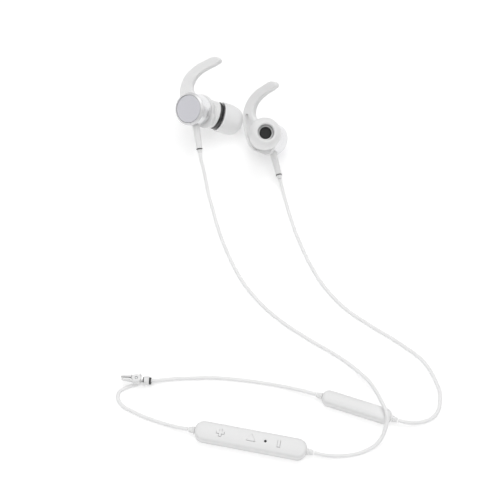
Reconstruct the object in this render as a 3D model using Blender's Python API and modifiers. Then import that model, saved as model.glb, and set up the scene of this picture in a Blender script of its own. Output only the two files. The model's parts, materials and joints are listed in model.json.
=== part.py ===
"""Wireless neckband earphones laid out on a table.

Two turned aluminium earbuds with silicone ear hooks and eartips are joined by thin cords to a control
pod and a battery pod, and a small shirt clip rides on the cord between the pods. The origin is the
middle of the control pod's underside, +Z is up, and everything rests on z = 0.
"""

import math

import bmesh
import bpy
from mathutils import Matrix, Vector
from mathutils.geometry import interpolate_bezier

# Driving dimensions, in metres.
GAP = 0.0002
CORD_RADIUS = 0.0007
CORD_SIDE_RESOLUTION = 2

BARREL_RADIUS = 0.0066
BARREL_FRONT_RADIUS = 0.00615
BARREL_BORE = 0.0057
BARREL_LENGTH = 0.0078
CAP_RADIUS = 0.0054
HOUSING_RADIUS = 0.0056
HOUSING_START = BARREL_LENGTH + GAP
ELBOW_RADIUS = 0.0055
ELBOW_START = 0.01015
NOZZLE_PIVOT = 0.0090
NOZZLE_TILT = math.radians(36.5)
NOZZLE_DROOP = math.radians(9.0)
NOZZLE_RADIUS = 0.0029
NOZZLE_BORE = 0.0025
NOZZLE_END = 0.0152
COLLAR_RADIUS = 0.0057
COLLAR_START = 0.0069
COLLAR_END = 0.0085
TIP_RADIUS = 0.0063
TIP_START = 0.0087
TIP_END = 0.0182

HOOK_THICKNESS = 0.0026
HOOK_MIDDLE = 0.0099
HOOK_SLEEVE_START = 0.0081
HOOK_SLEEVE_END = 0.0100
HOOK_SLEEVE_RADIUS = 0.00645
HOOK_SLEEVE_BORE = HOUSING_RADIUS + 0.00015
HOOK_EDGE_ROUND = 0.00025
HOOK_WEB = 0.0009
HOOK_LEAN_UP = math.radians(7.3)
HOOK_LEAN_FORWARD = math.radians(6.8)

RELIEF_ALONG_BARREL = 0.0042
RELIEF_ROOT = 0.0055
RELIEF_END = 0.0159
RELIEF_COLLAR_END = 0.01775

CONTROL_LENGTH = 0.0402
CONTROL_WIDTH = 0.0073
CONTROL_HEIGHT = 0.0045
CONTROL_CORNER = 0.0034
CONTROL_TURN = math.radians(-11.2)
CONTROL_SPLIT = 0.0014
CONTROL_EXIT_HEIGHT = 0.0019
BATTERY_LENGTH = 0.0256
BATTERY_WIDTH = 0.0054
BATTERY_HEIGHT = 0.0046
BATTERY_CORNER = 0.00245
BATTERY_CENTRE = (0.0380, 0.0125)
BATTERY_TURN = math.radians(-19.0)
BATTERY_SPLIT = 0.0020
BATTERY_EXIT_HEIGHT = 0.0022
POD_WALL = 0.0008
POD_EDGE = 0.0010
POD_RELIEF_LENGTH = 0.0022

BUTTON_RAISE = 0.00035
BUTTON_CLEARANCE = 0.0002
BUTTON_FLANGE = 0.0034
BUTTON_STEM_BOTTOM = 0.00245
BOARD_BOTTOM = 0.0010
BOARD_TOP = 0.0016
BOARD_SIZE = (0.0330, 0.0044)
SOLDER_GAP = 0.00015
BUTTON_PLACES = {"plus": -0.0108, "play": 0.0002, "minus": 0.0101}
MICROPHONE_PLACE = 0.0053
USB_MIDDLE = -0.0055
USB_OPENING = (0.0078, 0.0019)
USB_FLAP = (0.0074, 0.0007, 0.0015)
USB_MIDDLE_HEIGHT = 0.00245

CLIP_PIVOT = (-0.0412, 0.0230)
CLIP_TURN = math.radians(-3.0)
CLIP_BOTTOM = 0.0021
CLIP_TOP = 0.0047
CLIP_CHEEK = 0.0007
CLIP_CHEEK_RADII = (0.0017, 0.0014)
CLIP_PIN_RADIUS = 0.0004
CLIP_PIN_HOLE = 0.00056
EYELET_RADIUS = 0.00168
EYELET_BORE = 0.00112
EYELET_HEIGHT = 0.00176
EYELET_START = 0.0022
EYELET_END = 0.00515
EYELET_SIDE = 0.00015

# Where each earbud lies: the middle of its cap, the direction from the cap into the ear, the direction
# from the barrel up to the hook, which side the nozzle leans to, how far the hook is turned, and how far the
# soft strain relief is bent forward.
BUDS = {
    "left": {
        "cap": (-0.0248, 0.1324, 0.0198),
        "inward": (0.476, 0.490, -0.730),
        "up": (0.178, 0.759, 0.626),
        "side": -1,
        "hook_turn": math.radians(9.7),
        "relief_lean": math.radians(21.0),
    },
    "right": {
        "cap": (0.0100, 0.1285, 0.0038),
        "inward": (-0.554, -0.339, 0.760),
        "up": (-0.063, 0.928, 0.367),
        "side": 1,
        "hook_turn": math.radians(-13.0),
        "relief_lean": math.radians(12.0),
    },
}

# The hook's outline, as (forward, up) from the barrel's axis: its outer edge from the bottom of the sleeve
# round the back to the tip, and its inner edge from the tip down to the sleeve.
HOOK_OUTER = (
    (-0.0026, -0.0060),
    (-0.0046, -0.0051),
    (-0.0068, -0.0028),
    (-0.0086, 0.0012),
    (-0.0098, 0.0062),
    (-0.0091, 0.0120),
    (-0.0056, 0.0168),
    (-0.0006, 0.0200),
    (0.0052, 0.0218),
)
HOOK_TIP = (0.0070, 0.0203)
HOOK_INNER = (
    (0.0052, 0.0186),
    (0.0012, 0.0165),
    (-0.0022, 0.0140),
    (-0.0041, 0.0110),
    (-0.0042, 0.0082),
    (-0.0026, 0.0060),
    (-0.0010, 0.0000),
)
HOOK_RECESS = (
    (-0.0079, 0.0088),
    (-0.0055, 0.0068),
    (-0.0042, 0.0054),
    (-0.0050, 0.0022),
    (-0.0056, -0.0006),
    (-0.0060, -0.0012),
    (-0.0071, 0.0010),
    (-0.0078, 0.0032),
    (-0.0084, 0.0062),
)
HOOK_HEEL = (
    (-0.0030, -0.0050),
    (0.0004, -0.0069),
    (0.0038, -0.0072),
    (0.0059, -0.0052),
    (0.0060, -0.0010),
    (0.0, -0.0005),
)

# Each cord's route, as points along its middle.
LEFT_ROUTE = (
    (-0.02025, 0.11898, 0.00801),
    (-0.01990, 0.11690, 0.00682),
    (-0.01885, 0.11350, 0.00470),
    (-0.01800, 0.11000, 0.00290),
    (-0.01729, 0.10650, 0.00170),
    (-0.01640, 0.10250, 0.00105),
    (-0.01489, 0.09676, 0.00078),
    (-0.01303, 0.08933, 0.00074),
    (-0.00990, 0.07970, 0.00074),
    (-0.00413, 0.06640, 0.00074),
    (0.00320, 0.05570, 0.00074),
    (0.01170, 0.04735, 0.00074),
    (0.02125, 0.04030, 0.00074),
    (0.03135, 0.03365, 0.00080),
    (0.03595, 0.03005, 0.00100),
    (0.03970, 0.02625, 0.00165),
    (0.04285, 0.02230, 0.00280),
    (0.04505, 0.01775, 0.00430),
    (0.04660, 0.01340, 0.00560),
    (0.04780, 0.01015, 0.00588),
    (0.04830, 0.00695, 0.00562),
    (0.04756, 0.00375, 0.00425),
    (0.04606, 0.00060, 0.00270),
    (0.04353, -0.00182, 0.00155),
    (0.04010, -0.00350, 0.00090),
    (0.03590, -0.00470, 0.00076),
    (0.03135, -0.00527, 0.00110),
    (0.02640, -0.00523, 0.00165),
    (0.02232, -0.00442, 0.00190),
)
RIGHT_ROUTE = (
    (0.01188, 0.11021, 0.00254),
    (0.01250, 0.10760, 0.00185),
    (0.01325, 0.10420, 0.00115),
    (0.01424, 0.10000, 0.00080),
    (0.01590, 0.09303, 0.00074),
    (0.01818, 0.08502, 0.00074),
    (0.02285, 0.07245, 0.00074),
    (0.02830, 0.06195, 0.00074),
    (0.03580, 0.05280, 0.00074),
    (0.04530, 0.04535, 0.00074),
    (0.05530, 0.03835, 0.00074),
    (0.06390, 0.03060, 0.00074),
    (0.06825, 0.02065, 0.00074),
    (0.06835, 0.01590, 0.00074),
    (0.06735, 0.01175, 0.00074),
    (0.06490, 0.00890, 0.00080),
    (0.06185, 0.00750, 0.00105),
    (0.05855, 0.00685, 0.00150),
    (0.05530, 0.00690, 0.00200),
    (0.05261, 0.00747, 0.00220),
)
NECK_ROUTE = (
    (-0.02232, 0.00442, 0.00190),
    (-0.02560, 0.00507, 0.00165),
    (-0.03000, 0.00645, 0.00105),
    (-0.03380, 0.00775, 0.00080),
    (-0.03795, 0.00935, 0.00074),
    (-0.04240, 0.01150, 0.00074),
    (-0.04610, 0.01370, 0.00074),
    (-0.04790, 0.01665, 0.00074),
    (-0.04750, 0.01910, 0.00074),
    (-0.04570, 0.02035, 0.00074),
    (-0.04340, 0.02140, 0.00076),
    (-0.04210, 0.02165, 0.00085),
    (-0.04100, 0.02205, 0.00100),
    (-0.04010, 0.02250, 0.00115),
    (-0.03920, 0.02282, 0.00150),
    (-0.03780, 0.02297, 0.00178),
    (-0.03630, 0.02305, 0.00166),
    (-0.03480, 0.02320, 0.00130),
    (-0.03294, 0.02344, 0.00100),
    (-0.02861, 0.02403, 0.00074),
    (-0.02390, 0.02425, 0.00074),
    (-0.01400, 0.02450, 0.00074),
    (-0.00380, 0.02370, 0.00074),
    (0.00645, 0.02215, 0.00078),
    (0.01235, 0.02085, 0.00115),
    (0.01760, 0.01935, 0.00175),
    (0.02060, 0.01842, 0.00205),
    (0.02339, 0.01753, 0.00220),
)
CORD_POINT_SPACING = 0.0052


def clear_scene():
    for leftover in list(bpy.data.objects):
        bpy.data.objects.remove(leftover, do_unlink=True)


def make_collection(name):
    collection = bpy.data.collections.new(name)
    bpy.context.scene.collection.children.link(collection)
    return collection


clear_scene()
PARTS = make_collection("neckband_earphones")
CUTTERS = make_collection("cutters")
CUTTERS.hide_render = True


def finish(name, colour, roughness, metallic=0.0):
    material = bpy.data.materials.new(name)
    material.use_nodes = True
    shader = material.node_tree.nodes["Principled BSDF"]
    shader.inputs["Base Color"].default_value = (*colour, 1.0)
    shader.inputs["Roughness"].default_value = roughness
    shader.inputs["Metallic"].default_value = metallic
    material.diffuse_color = (*colour, 1.0)
    return material


FINISHES = {
    "aluminium": ((0.80, 0.80, 0.81), 0.28, 1.0),
    "cap_aluminium": ((0.69, 0.69, 0.73), 0.42, 1.0),
    "white_plastic": ((0.86, 0.86, 0.86), 0.35, 0.0),
    "white_silicone": ((0.88, 0.88, 0.88), 0.50, 0.0),
    "cord_rubber": ((0.87, 0.87, 0.87), 0.45, 0.0),
    "dark_chrome": ((0.06, 0.06, 0.065), 0.16, 0.8),
    "dark_mesh": ((0.02, 0.02, 0.02), 0.55, 0.6),
    "steel": ((0.56, 0.57, 0.58), 0.30, 1.0),
    "magnet_nickel": ((0.62, 0.61, 0.58), 0.25, 1.0),
    "circuit_green": ((0.02, 0.16, 0.08), 0.45, 0.0),
    "cell_foil": ((0.70, 0.71, 0.72), 0.35, 0.8),
    "grey_collar": ((0.12, 0.12, 0.125), 0.35, 0.2),
}


def add_object(name, data, parent=None, collection=PARTS):
    added = bpy.data.objects.new(name, data)
    collection.objects.link(added)
    added.parent = parent
    if collection is CUTTERS:
        added.hide_render = True
        added.display_type = "WIRE"
    return added


def coat(piece, finish_name):
    """Gives the piece a material of its own."""
    piece.data.materials.append(finish(piece.name + "_" + finish_name, *FINISHES[finish_name]))
    return piece


def frame(name, matrix, parent=None):
    """An empty that pieces are placed from."""
    empty = add_object(name, None, parent)
    empty.matrix_local = matrix
    return empty


def axes_matrix(origin, along_z, near_y):
    z_axis = Vector(along_z).normalized()
    y_axis = Vector(near_y)
    y_axis = (y_axis - y_axis.dot(z_axis) * z_axis).normalized()
    x_axis = y_axis.cross(z_axis)
    turn = Matrix((x_axis, y_axis, z_axis)).transposed().to_4x4()
    return Matrix.Translation(Vector(origin)) @ turn


def turned(name, profile, parent=None, collection=PARTS, steps=24):
    """A profile of (radius, height) turned about Z. It runs down its outer side and up its inner side."""
    mesh = bpy.data.meshes.new(name)
    count = len(profile)
    on_axis = profile[0][0] == 0 and profile[-1][0] == 0
    edges = [(index, (index + 1) % count) for index in range(count - 1 if on_axis else count)]
    mesh.from_pydata([(radius, 0.0, height) for radius, height in profile], edges, [])
    piece = add_object(name, mesh, parent, collection)
    screw = piece.modifiers.new("turn", "SCREW")
    screw.axis = "Z"
    screw.steps = steps
    screw.render_steps = steps
    screw.use_merge_vertices = True
    screw.merge_threshold = 0.00001
    screw.use_smooth_shade = True
    return piece


def rod(name, radius, bottom, top, parent=None, collection=PARTS, steps=20):
    """A plain cylinder about Z."""
    return turned(name, ((0, top), (radius, top), (radius, bottom), (0, bottom)), parent, collection, steps)


def mesh_piece(name, build, parent=None, collection=PARTS):
    """An object from a bmesh that the build function fills."""
    shape = bmesh.new()
    build(shape)
    bmesh.ops.recalc_face_normals(shape, faces=shape.faces)
    mesh = bpy.data.meshes.new(name)
    shape.to_mesh(mesh)
    shape.free()
    return add_object(name, mesh, parent, collection)


def box(name, low, high, parent=None, collection=PARTS):
    """A box between two corners."""
    middle = (Vector(low) + Vector(high)) / 2
    size = Vector(high) - Vector(low)

    def build(shape):
        placed = Matrix.Translation(middle) @ Matrix.Diagonal((*size, 1.0))
        bmesh.ops.create_cube(shape, size=1.0, matrix=placed)

    return mesh_piece(name, build, parent, collection)


def as_mesh(piece, collection, flat_sided):
    """Turns a curve object into a mesh object with welded caps, and with whole faces where they are flat."""
    bpy.context.view_layer.update()
    evaluated = piece.evaluated_get(bpy.context.evaluated_depsgraph_get())
    mesh = bpy.data.meshes.new_from_object(evaluated)
    shape = bmesh.new()
    shape.from_mesh(mesh)
    bmesh.ops.remove_doubles(shape, verts=shape.verts, dist=0.000001)
    if flat_sided:
        bmesh.ops.dissolve_limit(shape, angle_limit=0.001, verts=shape.verts, edges=shape.edges)
    bmesh.ops.recalc_face_normals(shape, faces=shape.faces)
    shape.to_mesh(mesh)
    shape.free()
    name = piece.name
    parent = piece.parent
    placed = piece.matrix_local.copy()
    bpy.data.objects.remove(piece, do_unlink=True)
    mesh.name = name
    solid = add_object(name, mesh, parent, collection)
    solid.matrix_local = placed
    return solid


def plate(name, outlines, bottom, top, parent=None, collection=PARTS, smooth=False, edge_round=0.0):
    """A flat plate from closed outlines of (x, y); an outline inside the first is a hole in it."""
    curve = bpy.data.curves.new(name, "CURVE")
    curve.dimensions = "2D"
    curve.fill_mode = "BOTH"
    curve.extrude = (top - bottom) / 2 - edge_round
    curve.bevel_depth = edge_round
    curve.bevel_resolution = 0
    curve.offset = -edge_round
    curve.resolution_u = 3
    for outline in outlines:
        spline = curve.splines.new("BEZIER" if smooth else "POLY")
        points = spline.bezier_points if smooth else spline.points
        points.add(len(outline) - 1)
        for point, place in zip(points, outline):
            if smooth:
                point.co = (*place, 0.0)
                point.handle_left_type = "AUTO"
                point.handle_right_type = "AUTO"
            else:
                point.co = (*place, 0.0, 1.0)
        spline.use_cyclic_u = True
    flat = add_object(name, curve, parent, collection)
    flat.location = (0.0, 0.0, (bottom + top) / 2)
    return as_mesh(flat, collection, not smooth)


def boolean(piece, tool, operation="DIFFERENCE"):
    modifier = piece.modifiers.new(operation.lower() + "_" + tool.name, "BOOLEAN")
    modifier.operation = operation
    modifier.object = tool
    return piece


def rounded_block(shape, size, levels, corner, open_bottom):
    """A block with rounded ends and one rounded rim, open on its other side."""
    length, width = size
    bottom, top = levels
    middle = Matrix.Translation((0, 0, (bottom + top) / 2))
    bmesh.ops.create_cube(shape, size=1.0, matrix=middle @ Matrix.Diagonal((length, width, top - bottom, 1)))
    upright = [e for e in shape.edges if abs(e.verts[0].co.z - e.verts[1].co.z) > (top - bottom) / 2]
    bmesh.ops.bevel(shape, geom=upright, offset=corner, segments=5, profile=0.5, affect="EDGES")
    rim_height = top if open_bottom else bottom
    rim = [e for e in shape.edges if all(abs(v.co.z - rim_height) < 1e-6 for v in e.verts)]
    bmesh.ops.bevel(shape, geom=rim, offset=POD_EDGE, segments=3, profile=0.5, affect="EDGES")
    mouth = bottom if open_bottom else top
    lid = [f for f in shape.faces if all(abs(v.co.z - mouth) < 1e-6 for v in f.verts)]
    bmesh.ops.delete(shape, geom=lid, context="FACES")


def pod_cover(name, size, levels, corner, open_bottom, parent):
    """One half of a pod's case, as a shell of an outer (length, width), between two levels."""

    def build(shape):
        rounded_block(shape, size, levels, corner, open_bottom)

    cover = mesh_piece(name, build, parent)
    shell = cover.modifiers.new("wall", "SOLIDIFY")
    shell.thickness = POD_WALL
    shell.offset = -1.0
    shell.use_even_offset = True
    return coat(cover, "white_plastic")


def arc(radius, start, end, count):
    """Points of (radius, height) on a circle about the origin, from a start to an end angle."""
    steps = [start + (end - start) * index / (count - 1) for index in range(count)]
    ends = [(radius * math.cos(angle), radius * math.sin(angle)) for angle in steps]
    return [(round(across, 9), round(up, 9)) for across, up in ends]


# Earbuds.


def make_barrel(side_name, bud):
    profile = (
        (BARREL_BORE, BARREL_LENGTH),
        (BARREL_FRONT_RADIUS, BARREL_LENGTH),
        (0.00642, 0.0058),
        (0.00655, 0.0038),
        (BARREL_RADIUS, 0.0013),
        (0.00635, 0.00045),
        (0.00575, 0.0),
        (0.0056, 0.0),
        (0.0056, 0.0011),
        (0.0046, 0.0011),
        (0.0046, 0.0018),
        (BARREL_BORE, 0.0018),
    )
    barrel = turned(side_name + "_barrel", profile, bud, steps=28)
    hole = rod(side_name + "_relief_hole", 0.00165, 0.0050, 0.0080, bud, CUTTERS)
    hole.matrix_local = relief_matrix(side_name)
    boolean(barrel, hole)
    coat(barrel, "aluminium")


def make_barrel_contents(side_name, bud):
    coat(rod(side_name + "_cap_disc", CAP_RADIUS, 0.0001, 0.0009, bud, steps=28), "cap_aluminium")
    coat(rod(side_name + "_magnet", 0.0034, 0.0011, 0.0026, bud), "magnet_nickel")
    driver = (
        (0, 0.0066),
        (0.0030, 0.0066),
        (0.0050, 0.0058),
        (0.0050, 0.0050),
        (0.0036, 0.0044),
        (0.0036, 0.0032),
        (0, 0.0032),
    )
    coat(turned(side_name + "_driver", driver, bud, steps=16), "steel")


def make_front_housing(side_name, bud, nozzle):
    """The white elbow between the barrel and the eartip, with the nozzle tube."""
    dome = arc(ELBOW_RADIUS, 0.0, -math.pi / 2, 7)
    profile = [
        (NOZZLE_BORE, NOZZLE_END),
        (NOZZLE_RADIUS, NOZZLE_END),
        (NOZZLE_RADIUS, COLLAR_END),
        (0.0032, COLLAR_END),
        (0.0032, COLLAR_START - GAP),
        (0.0054, COLLAR_START - GAP),
        (0.00565, COLLAR_START - 0.0006),
        (0.00545, COLLAR_START - 0.0010),
    ]
    outside = profile[1:] + dome
    housing = turned(side_name + "_front_housing", [(0, NOZZLE_END)] + outside, nozzle)
    below = box(side_name + "_below_elbow", (-0.02, -0.02, -0.01), (0.02, 0.02, ELBOW_START), bud, CUTTERS)
    boolean(housing, below)
    ring = rod(side_name + "_housing_ring", HOUSING_RADIUS, HOUSING_START, 0.0104, bud, CUTTERS, 24)
    boolean(housing, ring, "UNION")
    inner_dome = arc(0.0045, 0.0, -math.pi / 2, 5)
    inner = [(0, 0.0170), (NOZZLE_BORE, 0.0170), (NOZZLE_BORE, 0.0058), (0.0045, 0.0048)] + inner_dome
    boolean(housing, turned(side_name + "_housing_hollow", inner, nozzle, CUTTERS, 20))
    coat(housing, "white_plastic")


def make_nozzle_pieces(side_name, nozzle):
    """The dark collar, the sound mesh and the silicone eartip."""
    collar = (
        (0.0034, COLLAR_END),
        (0.0053, COLLAR_END),
        (COLLAR_RADIUS, COLLAR_END - 0.0003),
        (COLLAR_RADIUS, COLLAR_START + 0.0003),
        (0.0053, COLLAR_START),
        (0.0034, COLLAR_START),
    )
    coat(turned(side_name + "_nozzle_collar", collar, nozzle), "dark_chrome")
    mesh = rod(side_name + "_nozzle_mesh", NOZZLE_BORE - 0.00015, 0.0146, 0.0151, nozzle)
    coat(mesh, "dark_mesh")
    eartip = (
        (0.0031, 0.0177),
        (0.0034, TIP_END),
        (0.0040, TIP_END),
        (0.0052, 0.0169),
        (0.0060, 0.0149),
        (TIP_RADIUS, 0.0124),
        (0.0062, TIP_START + 0.0002),
        (0.0060, TIP_START),
        (0.0057, TIP_START + 0.0002),
        (0.0057, 0.0124),
        (0.0053, 0.0146),
        (0.0046, 0.0156),
        (0.0037, 0.0151),
        (0.0037, TIP_START + 0.0002),
        (0.0031, TIP_START + 0.0002),
    )
    coat(turned(side_name + "_eartip", eartip, nozzle), "white_silicone")


def make_ear_hook(side_name, hook, side):
    """The silicone sleeve round the housing, with its heel and the curved wing with a leaf-shaped recess."""

    def facing(outline):
        return [(side * forward, up) for forward, up in outline]

    half = HOOK_THICKNESS / 2
    lean = Matrix.Rotation(HOOK_LEAN_UP, 4, "X") @ Matrix.Rotation(-side * HOOK_LEAN_FORWARD, 4, "Y")
    wing_place = Matrix.Translation((0, 0, HOOK_MIDDLE)) @ lean
    outline = facing(HOOK_OUTER + (HOOK_TIP,) + HOOK_INNER)
    wing = plate(
        side_name + "_wing",
        (outline,),
        -half,
        half,
        hook,
        CUTTERS,
        smooth=True,
        edge_round=HOOK_EDGE_ROUND,
    )
    wing.matrix_local = wing_place
    sleeve = (
        (0, HOOK_SLEEVE_END),
        (0.0062, HOOK_SLEEVE_END),
        (HOOK_SLEEVE_RADIUS, 0.0097),
        (HOOK_SLEEVE_RADIUS, 0.0084),
        (0.0062, HOOK_SLEEVE_START),
        (0, HOOK_SLEEVE_START),
    )
    ear_hook = turned(side_name + "_ear_hook", sleeve, hook)
    boolean(ear_hook, wing, "UNION")
    heel_bottom = HOOK_SLEEVE_START + 0.0001
    heel_top = HOOK_SLEEVE_END - 0.0001
    heel = plate(
        side_name + "_heel",
        (facing(HOOK_HEEL),),
        heel_bottom,
        heel_top,
        hook,
        CUTTERS,
        smooth=True,
        edge_round=HOOK_EDGE_ROUND,
    )
    boolean(ear_hook, heel, "UNION")
    recess = plate(
        side_name + "_recess",
        (facing(HOOK_RECESS),),
        HOOK_WEB - half,
        half + 0.0010,
        hook,
        CUTTERS,
        smooth=True,
    )
    recess.matrix_local = wing_place @ recess.matrix_local
    boolean(ear_hook, recess)
    bore = (
        (0, 0.0130),
        (HOOK_SLEEVE_BORE, 0.0130),
        (HOOK_SLEEVE_BORE, BARREL_LENGTH + GAP),
        (BARREL_RADIUS + GAP, BARREL_LENGTH + GAP),
        (BARREL_RADIUS + GAP, 0.0040),
        (0, 0.0040),
    )
    boolean(ear_hook, turned(side_name + "_sleeve_bore", bore, hook, CUTTERS))
    coat(ear_hook, "white_silicone")


def relief_matrix(side_name):
    """The strain relief's frame: its Z runs out of the barrel's underside, leaning forward."""
    lean = BUDS[side_name]["relief_lean"]
    out = (BUDS[side_name]["side"] * math.sin(lean), -math.cos(lean), 0.0)
    return axes_matrix((0.0, 0.0, RELIEF_ALONG_BARREL), out, (0.0, 0.0, 1.0))


def make_relief(side_name, bud):
    relief = (
        (0, RELIEF_END),
        (0.00115, RELIEF_END),
        (0.00125, 0.0157),
        (0.0013, 0.0120),
        (0.00145, 0.0074),
        (0.00145, RELIEF_ROOT),
        (0, RELIEF_ROOT),
    )
    piece = turned(side_name + "_strain_relief", relief, bud, steps=16)
    piece.matrix_local = relief_matrix(side_name)
    coat(piece, "white_silicone")
    collar_start = RELIEF_END + 0.00015
    collar = (
        (0, RELIEF_COLLAR_END),
        (0.00085, RELIEF_COLLAR_END),
        (0.00095, 0.0169),
        (0.00135, 0.0168),
        (0.00135, collar_start),
        (0, collar_start),
    )
    piece = turned(side_name + "_relief_collar", collar, bud, steps=16)
    piece.matrix_local = relief_matrix(side_name)
    coat(piece, "grey_collar")


def make_bud(side_name):
    place = BUDS[side_name]
    side = place["side"]
    bud = frame(side_name + "_bud_frame", axes_matrix(place["cap"], place["inward"], place["up"]))
    out = (
        side * math.cos(NOZZLE_DROOP) * math.sin(NOZZLE_TILT),
        -math.sin(NOZZLE_DROOP),
        math.cos(NOZZLE_DROOP) * math.cos(NOZZLE_TILT),
    )
    nozzle = frame(side_name + "_nozzle_frame", axes_matrix((0, 0, NOZZLE_PIVOT), out, (0, 1, 0)), bud)
    hook = frame(side_name + "_hook_frame", Matrix.Rotation(side * place["hook_turn"], 4, "Z"), bud)
    make_barrel(side_name, bud)
    make_barrel_contents(side_name, bud)
    make_front_housing(side_name, bud, nozzle)
    make_nozzle_pieces(side_name, nozzle)
    make_ear_hook(side_name, hook, side)
    make_relief(side_name, bud)


# Pods.


def triangle_outline(radius):
    turns = (math.pi / 2, math.pi * 7 / 6, math.pi * 11 / 6)
    return tuple((radius * math.cos(turn), radius * math.sin(turn)) for turn in turns)


def bar_outline(half_width, half_length):
    corners = ((1, 1), (-1, 1), (-1, -1), (1, -1))
    return tuple((along * half_width, across * half_length) for along, across in corners)


def button_signs(grow):
    """The outlines that each button's sign is made of, grown by a margin for the opening it moves in."""
    upright = bar_outline(0.00042 + grow, 0.0014 + grow)
    level = bar_outline(0.0014 + grow, 0.00042 + grow)
    return {
        "plus": (upright, level),
        "play": (triangle_outline(0.0018 + 2 * grow),),
        "minus": (bar_outline(0.00048 + grow, 0.0013 + grow),),
    }


def make_buttons(pod, cover):
    """Three keys whose raised signs stand in openings of the cover, each on a round flange with a stem."""
    signs = button_signs(0.0)
    openings = button_signs(BUTTON_CLEARANCE)
    flange_top = -POD_WALL - GAP
    for name, along in BUTTON_PLACES.items():
        for index, outline in enumerate(openings[name]):
            opening = plate(f"opening_{name}_{index}", (outline,), 0.0028, 0.0060, pod, CUTTERS)
            opening.location.x = along
            boolean(cover, opening)
        seat = frame("button_" + name + "_frame", Matrix.Translation((along, 0, CONTROL_HEIGHT)), pod)
        button = rod("button_" + name, BUTTON_FLANGE / 2, flange_top - 0.0005, flange_top, seat, steps=16)
        for index, outline in enumerate(signs[name]):
            sign = plate(f"sign_{name}_{index}", (outline,), flange_top - 0.0002, BUTTON_RAISE, seat, CUTTERS)
            boolean(button, sign, "UNION")
        stem_bottom = BUTTON_STEM_BOTTOM - CONTROL_HEIGHT
        stem = rod("stem_" + name, 0.0007, stem_bottom, flange_top - 0.00035, seat, CUTTERS, 10)
        boolean(button, stem, "UNION")
        coat(button, "white_plastic")


def make_control_contents(pod):
    """The circuit board with its switch domes, microphone, radio chip and status light."""
    seat = BOARD_TOP + SOLDER_GAP
    half_length = BOARD_SIZE[0] / 2
    half_width = BOARD_SIZE[1] / 2
    board = box(
        "circuit_board",
        (-half_length, -half_width, BOARD_BOTTOM),
        (half_length, half_width, BOARD_TOP),
        pod,
    )
    coat(board, "circuit_green")
    for name, along in BUTTON_PLACES.items():
        profile = (
            (0, seat + 0.0004),
            (0.0009, seat + 0.0003),
            (0.0015, seat),
            (0, seat),
        )
        dome = turned("switch_dome_" + name, profile, pod, steps=16)
        dome.location.x = along
        coat(dome, "steel")
    microphone = rod("microphone", 0.0011, seat, 0.0035, pod, steps=16)
    microphone.location.x = MICROPHONE_PLACE
    coat(microphone, "steel")
    screen = rod("microphone_screen", 0.00045, 0.0037, 0.0044, pod, steps=16)
    screen.location.x = MICROPHONE_PLACE
    coat(screen, "dark_mesh")
    chip = box("radio_chip", (0.0123, -0.0015, seat), (0.0153, 0.0015, seat + 0.0009), pod)
    coat(chip, "grey_collar")
    light = box("status_light", (-0.0155, -0.0006, seat), (-0.0143, 0.0006, seat + 0.0007), pod)
    coat(light, "white_plastic")


def make_charging_port(pod, cover):
    """The charging socket at the pod's far long side, and the flap that seals it."""
    wide, high = USB_OPENING
    wall = CONTROL_WIDTH / 2
    low = (USB_MIDDLE - wide / 2, wall - 0.0015, USB_MIDDLE_HEIGHT - high / 2)
    top = (USB_MIDDLE + wide / 2, wall + 0.0010, USB_MIDDLE_HEIGHT + high / 2)
    boolean(cover, box("usb_opening", low, top, pod, CUTTERS))
    flap_wide, flap_thick, flap_high = USB_FLAP
    hinge = (USB_MIDDLE - flap_wide / 2, wall, USB_MIDDLE_HEIGHT)
    hinge_frame = frame("usb_flap_frame", Matrix.Translation(hinge), pod)
    flap = box("usb_flap", (0, -flap_thick, -flap_high / 2), (flap_wide, 0, flap_high / 2), hinge_frame)
    tab_low = (flap_wide - 0.0009, -0.0003, -0.0005)
    tab_top = (flap_wide - 0.0003, 0.00035, 0.0005)
    tab = box("usb_flap_tab", tab_low, tab_top, hinge_frame, CUTTERS)
    boolean(flap, tab, "UNION")
    coat(flap, "white_silicone")
    socket_low = (USB_MIDDLE - 0.00345, -0.0019, BOARD_TOP + SOLDER_GAP)
    socket_top = (USB_MIDDLE + 0.00345, wall - POD_WALL - 0.0001, 0.0034)
    socket = box("usb_socket", socket_low, socket_top, pod)
    mouth_low = (USB_MIDDLE - 0.0031, 0.0, BOARD_TOP + 0.0004)
    mouth_top = (USB_MIDDLE + 0.0031, 0.0060, 0.0032)
    boolean(socket, box("usb_mouth", mouth_low, mouth_top, pod, CUTTERS))
    coat(socket, "steel")


def make_pod_relief(name, pod, length, height, end):
    """A short cone where a cord leaves a pod's end; end is -1 or 1 along the pod."""
    start = length / 2 + 0.00015
    profile = (
        (0, start + POD_RELIEF_LENGTH),
        (0.00095, start + POD_RELIEF_LENGTH),
        (0.0010, start + 0.0019),
        (0.0013, start + 0.0005),
        (0.0013, start),
        (0, start),
    )
    relief = turned(name, profile, pod, steps=16)
    relief.matrix_local = axes_matrix((0, 0, height), (end, 0, 0), (0, 0, 1))
    coat(relief, "white_silicone")


def make_control_pod():
    pod = frame("control_pod_frame", Matrix.Rotation(CONTROL_TURN, 4, "Z"))
    size = (CONTROL_LENGTH, CONTROL_WIDTH)
    cover = pod_cover("control_top_cover", size, (CONTROL_SPLIT, CONTROL_HEIGHT), CONTROL_CORNER, True, pod)
    pod_cover("control_bottom_cover", size, (0.0, CONTROL_SPLIT - GAP), CONTROL_CORNER, False, pod)
    make_buttons(pod, cover)
    hole = rod("microphone_hole", 0.0006, 0.0036, 0.0060, pod, CUTTERS, 16)
    hole.location.x = MICROPHONE_PLACE
    boolean(cover, hole)
    make_control_contents(pod)
    make_charging_port(pod, cover)
    make_pod_relief("control_relief_neck", pod, CONTROL_LENGTH, CONTROL_EXIT_HEIGHT, -1)
    make_pod_relief("control_relief_left_bud", pod, CONTROL_LENGTH, CONTROL_EXIT_HEIGHT, 1)


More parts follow.
